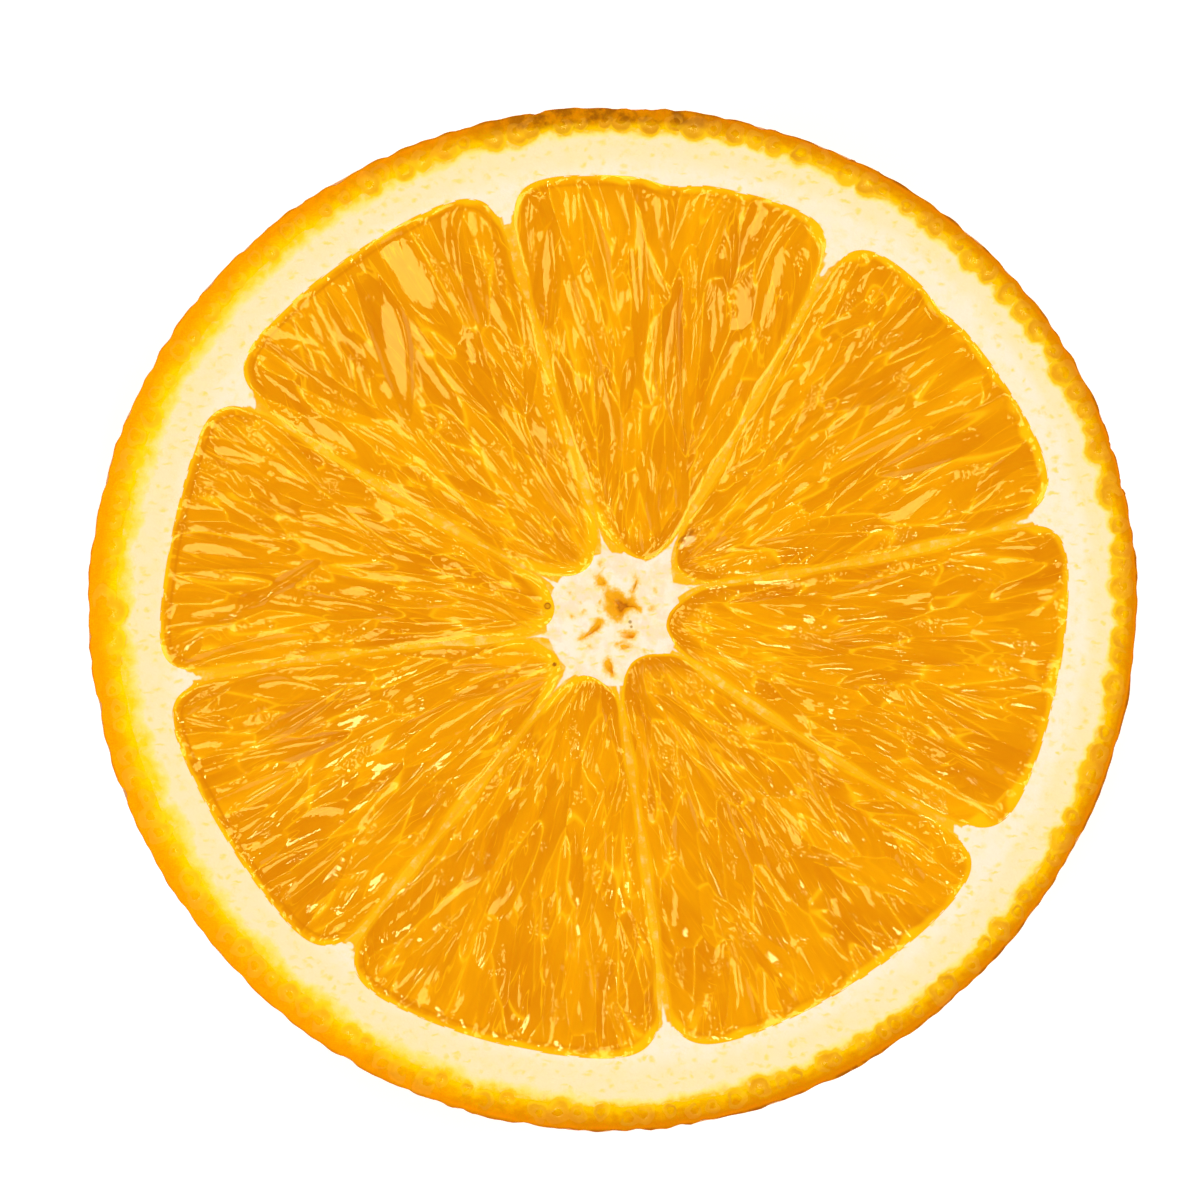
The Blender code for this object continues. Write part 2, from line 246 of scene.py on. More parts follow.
def rim_offset():
    """From the axis of the waves to the origin."""
    angles = np.radians(np.arange(360.0))
    rim = direction(angles) * rim_radius(angles)[:, None]
    return (rim.min(axis=0) + rim.max(axis=0)) / 2.0


OFFSET = rim_offset()


def zest_thickness(angle):
    """Thickness of the coloured layer at the cut face."""
    return ZEST_THICKNESS + ZEST_SWELL * np.cos(angle - math.radians(ZEST_SWELL_ANGLE))


def smooth_step(value, low, high):
    """0 under low, 1 over high and a smooth rise between."""
    share = np.clip((value - low) / (high - low), 0.0, 1.0)
    return share * share * (3.0 - 2.0 * share)


def ripples(places, length, seed, waves=28):
    """Smooth uneven waves over points in any number of dimensions, of about unit height."""
    rng = np.random.default_rng(seed)
    total = np.zeros(len(places))
    for _ in range(waves):
        way = rng.normal(size=places.shape[1])
        way *= rng.uniform(0.6, 1.5) * math.tau / length / np.linalg.norm(way)
        total += np.cos(places @ way + rng.uniform(0.0, math.tau))
    return total * math.sqrt(2.0 / waves)


def skin_depth(places):
    """Depth of points of the cut face under the outside of the rind."""
    around = places + OFFSET
    angle = np.arctan2(around[:, 1], around[:, 0])
    return rim_radius(angle) * INSIDE - np.hypot(around[:, 0], around[:, 1])


# Outline of the pulp


def wall_line(wall, along, reach, inset):
    """Points on a wall, set in from it and from its ends: to its left, or right if negative."""
    core = np.array(wall[0])
    run = (np.array(wall[1]) - core) * reach
    ahead = run / np.hypot(*run)
    left = np.array((-ahead[1], ahead[0]))
    bend = wall[2] * reach * 4.0 * along * (1.0 - along)
    ends = abs(inset) * (1.0 - 2.0 * along)
    return core + np.outer(along, run) + np.outer(ends, ahead) + np.outer(bend + inset, left)


def round_corners(x, y):
    """Move points of the square from -1 to 1 so that the square's corners come out round."""
    power = np.where(y < 0.0, TIP_CORNER, CORNER)
    size = np.maximum(np.abs(x), np.abs(y))
    norm = (np.abs(x) ** power + np.abs(y) ** power) ** (1.0 / power)
    stretch = size / np.maximum(norm, 1e-9)
    return x * stretch, y * stretch


def wall_wear(wall, along):
    """How far the pulp swells into some walls: unevenly along them, most beside the core."""
    waves = sum(np.cos(math.tau * along * (1.3 + 1.7 * k) + WALL_WAVES[wall, k]) for k in range(3))
    swell = WALL_WEAR * smooth_step(along, 0.99, 0.88) * np.clip(0.55 + 0.3 * waves, 0.0, 1.0)
    return np.maximum(swell, TIP_WEAR * smooth_step(along, 0.14, 0.02))


def plan_points(number, x, y, reach, inset):
    """Points of a segment from above: x from wall to wall and y from core to rind, -1 to 1."""
    first = WALLS[number]
    last = WALLS[(number + 1) % len(WALLS)]
    tip = np.array(SEGMENTS[number][0])
    tip_radius = np.hypot(*tip)
    round_end = SEGMENTS[number][1]

    def between(share, along):
        start = wall_line(first, along, reach, inset)
        return start + (wall_line(last, along, reach, -inset) - start) * share[:, None]

    x, y = round_corners(x, y)
    along = (y + 1.0) / 2.0
    half = np.array((0.5,))
    core_middle = between(half, np.array((0.0,)))[0]
    rim_middle = between(half, np.array((1.0,)))[0]
    outward = rim_middle / np.hypot(*rim_middle)
    end = outward * (tip_radius + (round_end - tip_radius) * reach - inset)
    bulge = np.outer((1.0 - along) ** 2, tip + outward * inset - core_middle)
    bulge += np.outer(along ** 2, end - rim_middle)
    places = between((x + 1.0) / 2.0, along) + bulge * (1.0 - x * x)[:, None]
    aside = between(np.ones(len(along)), along) - between(np.zeros(len(along)), along)
    aside /= np.linalg.norm(aside, axis=1)[:, None]
    side = np.where(x > 0.0, (number + 1) % len(WALLS), number)
    places += aside * (np.sign(x) * np.abs(x) ** 8 * wall_wear(side, along))[:, None]
    angle = np.degrees(np.arctan2(places[:, 1], places[:, 0]))
    for turn, depth, width in NOTCHES:
        off = (angle - turn + 180.0) % 360.0 - 180.0
        dent = depth * np.exp(-(off / width) ** 2) * along ** 6
        places -= places * (dent / np.hypot(places[:, 0], places[:, 1]))[:, None]
    return places


def square_path(across, along):
    """Points round the square from -1 to 1, evenly spaced on each side, as x and y."""
    side_x = -1.0 + 2.0 * np.arange(across) / across
    side_y = -1.0 + 2.0 * np.arange(along) / along
    x = np.concatenate((side_x, np.ones(along), -side_x, -np.ones(along)))
    y = np.concatenate((-np.ones(across), side_y, np.ones(across), -side_y))
    return x, y


def outline(number, inset, points=600):
    """The closed outline of a segment at the cut face."""
    x, y = square_path(points // 4, points // 4)
    return plan_points(number, x, y, 1.0, inset)


def nearest(places, line):
    """Distance from each point to the nearest point of a line."""
    tree = kdtree.KDTree(len(line))
    for number, place in enumerate(line):
        tree.insert((place[0], place[1], 0.0), number)
    tree.balance()
    return np.array([tree.find((place[0], place[1], 0.0))[2] for place in places])


# Meshes


def store(mesh, **columns):
    """Store one number, or one vector, for each point of a mesh under each name."""
    for name, values in columns.items():
        values = np.asarray(values, dtype=np.float32)
        kind = 'FLOAT' if values.ndim == 1 else 'FLOAT_VECTOR'
        item = mesh.attributes.new(name, kind, 'POINT')
        item.data.foreach_set("value" if values.ndim == 1 else "vector", values.ravel())


def points_of(mesh):
    """The points of a mesh, in millimetres."""
    flat = np.empty(len(mesh.vertices) * 3, dtype=np.float32)
    mesh.vertices.foreach_get("co", flat)
    return flat.reshape(-1, 3).astype(float) / MM


def place_points(mesh, places):
    """Move the points of a mesh to places in millimetres."""
    mesh.vertices.foreach_set("co", (places * MM).astype(np.float32).ravel())
    mesh.update()


def new_object(name, bm, sharp_angle):
    """Turn a closed bmesh into a smooth object with its faces pointing out."""
    bmesh.ops.recalc_face_normals(bm, faces=bm.faces)
    if bm.calc_volume(signed=True) < 0.0:
        bmesh.ops.reverse_faces(bm, faces=bm.faces)
    mesh = bpy.data.meshes.new(name)
    bm.to_mesh(mesh)
    bm.free()
    item = bpy.data.objects.new(name, mesh)
    bpy.context.scene.collection.objects.link(item)
    mesh.shade_smooth()
    mesh.set_sharp_from_angle(angle=math.radians(sharp_angle))
    return item


def new_piece(name, bm, material, sharp_angle, slot, *replaced):
    """Turn a bmesh into a piece that rides on the fruit and stands for some of its solids."""
    item = new_object(name, bm, sharp_angle)
    item.data.materials.append(material)
    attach(item, "root")
    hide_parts(*replaced)
    return item


def ring(bm, places):
    """A closed row of new points, in millimetres."""
    return [bm.verts.new(place) for place in (places * MM).tolist()]


def level_ring(bm, flat, height):
    """A closed row of new points at one height, in millimetres."""
    return ring(bm, np.column_stack((flat, np.full(len(flat), height))))


def join_rings(bm, first, second):
    """Faces between two rows, of equal length or with twice the points in the first."""
    if len(first) == len(second):
        for i in range(len(first)):
            bm.faces.new((first[i - 1], second[i - 1], second[i], first[i]))
        return
    for i in range(len(second)):
        before, here, after = first[2 * i - 2], first[2 * i - 1], first[2 * i]
        bm.faces.new((before, second[i - 1], here))
        bm.faces.new((here, second[i - 1], second[i], after))


def close_ring(bm, row):
    """Close a row of points with triangles to its middle."""
    middle = sum((vert.co for vert in row), Vector()) / len(row)
    point = bm.verts.new(middle)
    for i in range(len(row)):
        bm.faces.new((row[i - 1], row[i], point))


# Oil glands, the rind's depth and its painted light and shade, and the cut's waves


def place_glands():
    """Where the knife opened oil glands, unevenly spaced round the cut edge."""
    steps = (np.arange(GLANDS) + RNG.uniform(-GLAND_UNEVEN, GLAND_UNEVEN, GLANDS)) / GLANDS
    angle = steps * math.tau
    radius = RNG.uniform(*GLAND_RADIUS, GLANDS)
    depth = RNG.uniform(*GLAND_DEPTH, GLANDS) * zest_thickness(angle) / ZEST_THICKNESS
    depth = np.maximum(depth, radius + GLAND_MARGIN)
    middle = direction(angle) * (rim_radius(angle) * INSIDE - depth)[:, None] - OFFSET
    return middle, radius


GLAND_MIDDLES, GLAND_RADII = place_glands()


def plain_depth(places):
    """Depth in the rind as its colours go: 2 where the zest ends between the glands."""
    around = places + OFFSET
    angle = np.arctan2(around[:, 1], around[:, 0])
    return np.maximum(skin_depth(places), 0.0) * ZEST_THICKNESS / zest_thickness(angle)


def rind_depth(places):
    """The same, but shallow round each gland, so that the colours scallop there."""
    tree = kdtree.KDTree(GLANDS)
    for number, place in enumerate(GLAND_MIDDLES):
        tree.insert((place[0], place[1], 0.0), number)
    tree.balance()
    gap = np.empty(len(places))
    for i, place in enumerate(places):
        near = tree.find_n((place[0], place[1], 0.0), 3)
        gap[i] = min(distance - GLAND_RADII[number] for _, number, distance in near)
    return np.minimum(plain_depth(places), LOBE_DEPTH + np.maximum(gap, 0.0) * LOBE_SLOPE)


def sunny(places):
    """From 0 to 1, how lit the rind is painted, which changes slowly round the fruit: lighter and yellower
    on one side, painted shade on the other.
    """
    angle = np.arctan2(places[:, 1], places[:, 0])
    return smooth_step(np.cos(angle - math.radians(LIT_SIDE)), -0.1, 0.95)


def cut_waves(places):
    """Slow unevenness of the cut face, shared by all that it cuts."""
    return 0.03 * ripples(places, 9.0, 3)


# Shader building blocks


def node(tree, kind, inputs=None, **settings):
    """Add a shader node, set its options, and link or set its inputs."""
    item = tree.nodes.new("ShaderNode" + kind)
    for name, value in settings.items():
        setattr(item, name, value)
    for name, value in (inputs or {}).items():
        socket = item.inputs[name]
        if isinstance(value, bpy.types.NodeSocket):
            tree.links.new(value, socket)
        else:
            socket.default_value = value
    return item


def maths(tree, operation, *values, clamp=False):
    """A Math node's result."""
    return node(tree, "Math", dict(enumerate(values)), operation=operation,
                use_clamp=clamp).outputs[0]


def times(tree, first, second):
    """A product."""
    return maths(tree, 'MULTIPLY', first, second)


def times_plus(tree, value, factor, added):
    """A product with something added."""
    return maths(tree, 'MULTIPLY_ADD', value, factor, added)


def vectors(tree, operation, *values, result=0):
    """A Vector Math node's result: its vector, or its number where result is 1."""
    return node(tree, "VectorMath", dict(enumerate(values)), operation=operation).outputs[result]


def stretched(tree, vector, scale):
    """A vector scaled along each axis."""
    return node(tree, "Mapping", {"Vector": vector, "Scale": scale}).outputs[0]


def opaque(colour):
    """A colour with its alpha, or a socket as it is."""
    return (*colour, 1.0) if isinstance(colour, tuple) else colour


def blend(tree, share, first, second):
    """A mix of two colours."""
    inputs = {0: share, 6: opaque(first), 7: opaque(second)}
    return node(tree, "Mix", inputs, data_type='RGBA').outputs[2]


def ramp(tree, value, stops):
    """Colours along a value."""
    item = node(tree, "ValToRGB", {0: value})
    elements = item.color_ramp.elements
    while len(elements) < len(stops):
        elements.new(0.5)
    for element, (place, colour) in zip(elements, stops):
        element.position = place
        element.color = opaque(colour)
    return item.outputs[0]


def mask(tree, value, low, high):
    """0 at low and 1 at high, smooth between; the other way round if low is over high."""
    return node(tree, "MapRange", {0: value, 1: low, 2: high, 3: 0.0, 4: 1.0},
                interpolation_type='SMOOTHSTEP').outputs[0]


def attribute(tree, name, output="Fac"):
    """A value stored on the mesh."""
    return node(tree, "Attribute", attribute_type='GEOMETRY', attribute_name=name).outputs[output]


def noise(tree, vector, scale, detail=2.0, roughness=0.5, distortion=0.0):
    """A noise texture's value."""
    return node(tree, "TexNoise", {"Vector": vector, "Scale": scale, "Detail": detail,
                                   "Roughness": roughness, "Distortion": distortion}).outputs[0]


ORIGIN = (0.0, 0.0, 0.0)
FLOAT = 'NodeSocketFloat'
COLOUR = 'NodeSocketColor'


def new_group(name, inputs, outputs):
    """A node group from its inputs' values and its outputs' kinds, with its two end nodes."""
    group = bpy.data.node_groups.new(name, 'ShaderNodeTree')
    for label, value in inputs.items():
        kind = 'NodeSocketVector' if isinstance(value, tuple) else FLOAT
        socket = group.interface.new_socket(label, in_out='INPUT', socket_type=kind)
        socket.default_value = value
    for label, kind in outputs.items():
        group.interface.new_socket(label, in_out='OUTPUT', socket_type=kind)
    return group, group.nodes.new("NodeGroupInput"), group.nodes.new("NodeGroupOutput")


def use_group(tree, group, inputs):
    """Place a node group in a material."""
    return node(tree, "Group", inputs, node_tree=group)


def new_material(name, settings):
    """A material with its Principled shader; gives the material, its tree and the shader."""
    material = bpy.data.materials.new(name)
    material.use_nodes = True
    shader = material.node_tree.nodes["Principled BSDF"]
    for label, value in settings.items():
        shader.inputs[label].default_value = value
    return material, material.node_tree, shader


def bump(tree, shader, height, distance):
    """Feed a height to a shader's normal: from 0 to 1, times a distance in metres."""
    item = node(tree, "Bump", {"Height": height, "Distance": distance, "Strength": 1.0})
    tree.links.new(item.outputs[0], shader.inputs["Normal"])


def position(tree):
    """Where a point is on the fruit, in millimetres."""
    place = node(tree, "TexCoord").outputs["Object"]
    return node(tree, "VectorMath", {0: place, "Scale": 1.0 / MM}, operation='SCALE').outputs[0]


# Colours, as linear values
# The first colour is painted shade: the dark edge of the skin at the cut, and the dark in its pits.
SKIN_SHADE = (0.36, 0.10, 0.002)
SKIN_DEEP = (0.76, 0.22, 0.001)
SKIN_BRIGHT = (0.88, 0.29, 0.001)
SKIN_TOP_BROWN = (0.28, 0.08, 0.002)
ZEST_OCHRE = (0.68, 0.225, 0.0)
ZEST_BODY = (0.79, 0.335, 0.0)
ZEST_YELLOW = (0.93, 0.50, 0.0)
# These three are the zest colours of the painted lit copy of the cut rind.
ZEST_LIT = (1.0, 0.36, 0.0)
ZEST_GOLD = (1.0, 0.47, 0.0)
ZEST_LEMON = (1.0, 0.62, 0.0)
ZEST_PALE = (1.0, 0.72, 0.16)
PITH_CREAM = (0.95, 0.735, 0.45)
PITH_WHITE = (0.95, 0.78, 0.61)
PITH_FLECK = (0.84, 0.67, 0.15)
CORE_WHITE = (0.95, 0.79, 0.66)
CORE_PINK = (0.94, 0.70, 0.52)
# This colour is painted shade, deep in the core's gaps.
CORE_GAP_SHADE = (0.60, 0.21, 0.0)
CORE_AMBER = (0.88, 0.40, 0.003)
CORE_HALO = (0.98, 0.70, 0.26)
CORE_DOT = (0.36, 0.17, 0.02)
WALL_YELLOW = (1.0, 0.48, 0.0)
WALL_ORANGE = (0.97, 0.39, 0.0)
PULP_DEEP = (0.69, 0.215, 0.0)
PULP_BODY = (0.79, 0.29, 0.0)
PULP_BRIGHT = (0.92, 0.38, 0.0)
PULP_LINE = (1.0, 0.48, 0.004)
PULP_SKIN_GLOW = (1.0, 0.50, 0.002)
PULP_SPECK = (0.33, 0.07, 0.004)
PULP_TORN = (1.0, 0.60, 0.26)
# Of these tints, dark carries a dark line near the rind and painted shade at the core, and skin a painted
# glow as well as the skin's own yellow.
PULP_TINTS = (("dark", PULP_DEEP), ("skin", PULP_SKIN_GLOW), ("torn", PULP_TORN), ("speck", PULP_SPECK))
GLAND_RING = (0.64, 0.25, 0.0)
GLAND_DISC = (0.72, 0.285, 0.0)
GLAND_OIL = (0.90, 0.42, 0.01)
# This colour is painted shade in the cup of an empty gland.
GLAND_PIT_SHADE = (0.42, 0.14, 0.0)


def make_rind_group():
    """Colours across the cut rind, from the painted shade at the skin's edge through the zest to the pith,
    in a painted shaded copy and a painted lit copy.
    """
    group, given, out = new_group("cut rind", {"Depth": 0.0, "Place": ORIGIN, "Lit": 0.0},
                                  {"Color": COLOUR, "Pith": FLOAT})
    place = given.outputs["Place"]
    ragged = noise(group, place, 0.45, 2.0, 0.5)
    fuzz = noise(group, place, 1.6, 2.0, 0.5)
    shift = times_plus(group, ragged, 1.5, -0.75)
    shift = maths(group, 'ADD', shift, times_plus(group, fuzz, 0.7, -0.35))
    grown = mask(group, given.outputs["Depth"], 0.3, 1.5)
    depth = times_plus(group, shift, grown, given.outputs["Depth"])
    share = maths(group, 'DIVIDE', depth, RAMP_DEPTH)
    # Two copies of the rind's colours, a painted shaded one that is browner and a painted lit one that is
    # yellower, blended by how lit the place is painted.
    shaded = ramp(group, share, (
        (0.0, SKIN_SHADE), (0.024, SKIN_SHADE), (0.055, SKIN_DEEP), (0.1, ZEST_OCHRE), (0.16, ZEST_BODY),
        (0.19, ZEST_BODY), (0.25, ZEST_YELLOW), (0.3, ZEST_YELLOW), (0.35, ZEST_PALE), (0.42, PITH_CREAM),
        (0.65, PITH_CREAM), (0.85, PITH_WHITE)))
    lit_part = ramp(group, share, (
        (0.0, SKIN_SHADE), (0.008, SKIN_DEEP), (0.03, ZEST_LIT), (0.1, ZEST_LIT), (0.2, ZEST_GOLD),
        (0.29, ZEST_LEMON), (0.33, ZEST_LEMON), (0.4, ZEST_PALE), (0.46, PITH_CREAM),
        (0.65, PITH_CREAM), (0.85, PITH_WHITE)))
    colour = blend(group, given.outputs["Lit"], shaded, lit_part)
    pith = mask(group, depth, 1.9, 2.6)
    group.links.new(colour, out.inputs["Color"])
    group.links.new(pith, out.inputs["Pith"])
    return group


def make_fleck_group():
    """Small soft yellow-green flecks and dashes in the pith, and its spongy grain."""
    group, given, out = new_group("pith flecks", {"Place": ORIGIN, "Amount": 0.5},
                                  {"Fleck": FLOAT, "Grain": FLOAT})
    place = given.outputs["Place"]
    warp = node(group, "TexNoise", {"Vector": place, "Scale": 1.1, "Detail": 3.0}).outputs[1]
    bent = vectors(group, 'MULTIPLY_ADD', warp, (0.9, 0.9, 0.0), place)
    total = None
    for turn, stretch, scale, size in FLECK_KINDS:
        laid = node(group, "Mapping", {"Vector": bent, "Rotation": (0.0, 0.0, turn),
                                       "Scale": (1.0, stretch, 0.0)}).outputs[0]
        cells = node(group, "TexVoronoi", {"Vector": laid, "Scale": scale}, voronoi_dimensions='2D')
        pick = node(group, "SeparateColor", {0: cells.outputs["Color"]})
        limit = maths(group, 'SUBTRACT', 1.0, given.outputs["Amount"])
        chosen = maths(group, 'GREATER_THAN', pick.outputs[0], limit)
        depth = times_plus(group, pick.outputs[1], 0.65, 0.35)
        spot = mask(group, cells.outputs["Distance"], size, size * 0.1)
        spot = times(group, spot, times(group, chosen, depth))
        total = spot if total is None else maths(group, 'MAXIMUM', total, spot)
    group.links.new(total, out.inputs["Fleck"])
    grain = noise(group, place, 5.0, 4.0, 0.6)
    group.links.new(grain, out.inputs["Grain"])
    return group


def make_wall_group():
    """Long streaks that run from the core outward."""
    group, given, out = new_group("wall streaks", {"Place": ORIGIN}, {"Streak": FLOAT})
    parts = node(group, "SeparateXYZ", {0: given.outputs["Place"]})
    turn = maths(group, 'ARCTAN2', parts.outputs[1], parts.outputs[0])
    reach = vectors(group, 'LENGTH', given.outputs["Place"], result=1)
    laid = node(group, "CombineXYZ", {0: times(group, turn, 45.0), 1: times(group, reach, 0.22)}).outputs[0]
    group.links.new(mask(group, noise(group, laid, 1.0, 2.0), 0.35, 0.65), out.inputs["Streak"])
    return group


def make_star_group():
    """The white of the core: its middle, and arms that taper to a point where the walls begin."""
    group, given, out = new_group("core star", {"Place": ORIGIN}, {"White": FLOAT})
    place = given.outputs["Place"]
    flat = vectors(group, 'MULTIPLY', place, (1.0, 1.0, 0.0))
    white = maths(group, 'SUBTRACT', STAR_MIDDLE, vectors(group, 'LENGTH', flat, result=1))
    for start, end, _ in WALLS:
        ahead = Vector((end[0] - start[0], end[1] - start[1], 0.0)).normalized()
        off = vectors(group, 'SUBTRACT', flat, (*start, 0.0))
        along = vectors(group, 'DOT_PRODUCT', off, ahead, result=1)
        across = vectors(group, 'DOT_PRODUCT', off, (-ahead.y, ahead.x, 0.0), result=1)
        half = times_plus(group, along, -STAR_TAPER, STAR_POINT)
        inward = maths(group, 'MINIMUM', along, 0.0)
        bowed = times(group, times(group, inward, inward), STAR_CURVE)
        half = maths(group, 'ADD', half, bowed)
        half = maths(group, 'MINIMUM', half, maths(group, 'ADD', along, STAR_ARM))
        inside = maths(group, 'SUBTRACT', half, maths(group, 'ABSOLUTE', across))
        white = maths(group, 'MAXIMUM', white, inside)
    ragged = times_plus(group, noise(group, place, 2.5, 2.0), 0.16, -0.08)
    white = mask(group, maths(group, 'ADD', white, ragged), -0.05, 0.07)
    group.links.new(white, out.inputs["White"])
    return group


def make_zest_group():
    """The cut zest's colours, with dark brown patches near the top of the rind."""
    group, given, out = new_group("cut zest", {"Depth": 0.0, "Place": ORIGIN, "Lit": 0.0, "TopBrown": 0.0},
                                  {"Color": COLOUR})
    depth, place, sunny_share, russet_share = given.outputs[:4]
    section = use_group(group, RIND_GROUP, {"Depth": depth, "Place": place, "Lit": sunny_share})
    outer = mask(group, depth, 1.6, 0.9)
    brown_patches = mask(group, noise(group, place, 0.7, 4.0, 0.6), 0.38, 0.6)
    russet = times(group, russet_share, times(group, brown_patches, outer))
    # Painted shade: the ochre mottling is stronger away from the lit side.
    shaded = times_plus(group, sunny_share, -0.6, 0.75)
    mottle = times(group, mask(group, noise(group, place, 1.3, 2.0), 0.4, 0.65), shaded)
    mottle = maths(group, 'MAXIMUM', mottle, times(group, russet_share, 0.8))
    colour = blend(group, times(group, mottle, outer), section.outputs["Color"], ZEST_OCHRE)
    colour = blend(group, times(group, russet, 0.85), colour, SKIN_TOP_BROWN)
    group.links.new(colour, out.inputs["Color"])
    return group


RIND_GROUP = make_rind_group()
ZEST_GROUP = make_zest_group()
FLECK_GROUP = make_fleck_group()
WALL_GROUP = make_wall_group()
STAR_GROUP = make_star_group()


def zest_colour(tree, place):
    """The cut zest's colour, from what is stored on the mesh."""
    names = {"Depth": "rind_depth", "Lit": "sunny", "TopBrown": "russet"}
    inputs = {label: attribute(tree, name) for label, name in names.items()}
    return use_group(tree, ZEST_GROUP, {**inputs, "Place": place}).outputs["Color"]


def zest_edge_material():
    """The cut edge of the zest, from the painted shade at the skin's edge to the pale yellow at the pith.
    """
    material, tree, shader = new_material("zest cut edge", {
        "Roughness": 0.55, "Specular IOR Level": 0.06, "Specular Tint": (1.0, 0.7, 0.1, 1.0),
        "Subsurface Weight": 0.25, "Subsurface Radius": (1.0, 0.35, 0.02), "Subsurface Scale": 0.0004})
    place = position(tree)
    tree.links.new(zest_colour(tree, place), shader.inputs["Base Color"])
    bump(tree, shader, noise(tree, place, 2.4, 4.0, 0.6), 0.00008)
    return material


def zest_material():
    """Waxy pebbled skin, with painted shade in its pits."""
    material, tree, shader = new_material("zest", {
        "Roughness": 0.4, "Specular IOR Level": 0.18, "Specular Tint": (1.0, 0.75, 0.4, 1.0),
        "Coat Weight": 0.03, "Coat Roughness": 0.2,
        "Subsurface Weight": 0.12, "Subsurface Radius": (1.0, 0.35, 0.08), "Subsurface Scale": 0.0008})
    place = position(tree)
    pit = attribute(tree, "pit")
    blotch = noise(tree, place, 0.09, 4.0, 0.55)
    skin = ramp(tree, blotch, ((0.3, SKIN_DEEP), (0.7, SKIN_BRIGHT)))
    # Painted shade in the pits.
    skin = blend(tree, times(tree, pit, 0.45), skin, SKIN_SHADE)
    brown_blotches = mask(tree, noise(tree, place, 0.6, 5.0, 0.65), 0.35, 0.6)
    russet = times(tree, attribute(tree, "russet"), brown_blotches)
    skin = blend(tree, times(tree, russet, 0.85), skin, SKIN_TOP_BROWN)
    tree.links.new(skin, shader.inputs["Base Color"])
    shine = times_plus(tree, noise(tree, place, 1.3, 2.0), 0.2, 0.28)
    shine = times_plus(tree, pit, 0.1, shine)
    tree.links.new(shine, shader.inputs["Roughness"])
    bump(tree, shader, noise(tree, place, 3.2, 3.0, 0.6), 0.00006)
    return material


def gland_material():
    """An oil gland cut open: an ochre ring that fades into the zest, round a bead of oil, or round painted
    shade in the cup of an empty one.
    """
    material, tree, shader = new_material("oil gland", {
        "Roughness": 0.16, "Specular IOR Level": 0.3, "Specular Tint": (1.0, 0.85, 0.4, 1.0)})
    place = position(tree)
    wobble = maths(tree, 'SUBTRACT', noise(tree, place, 2.2, 2.0), 0.5)
    reach = times_plus(tree, wobble, 0.35, attribute(tree, "reach"))
    wet = ramp(tree, reach, (
        (0.0, GLAND_OIL), (0.1, GLAND_OIL), (0.3, GLAND_DISC), (0.7, GLAND_DISC), (0.95, GLAND_RING)))
    # Painted shade in the cup of an empty gland.
    dark = ramp(tree, reach, ((0.0, GLAND_PIT_SHADE), (0.25, GLAND_PIT_SHADE), (0.5, GLAND_DISC), (0.95, GLAND_RING)))
    inside = blend(tree, attribute(tree, "dry"), wet, dark)
    strength = times(tree, mask(tree, reach, 1.15, 0.8), attribute(tree, "tone"))
    colour = blend(tree, strength, zest_colour(tree, place), inside)
    tree.links.new(colour, shader.inputs["Base Color"])
    dull = times_plus(tree, mask(tree, reach, 0.25, 0.8), 0.45, 0.12)
    tree.links.new(dull, shader.inputs["Roughness"])
    bump(tree, shader, noise(tree, place, 4.0, 2.0), 0.00002)
    return material


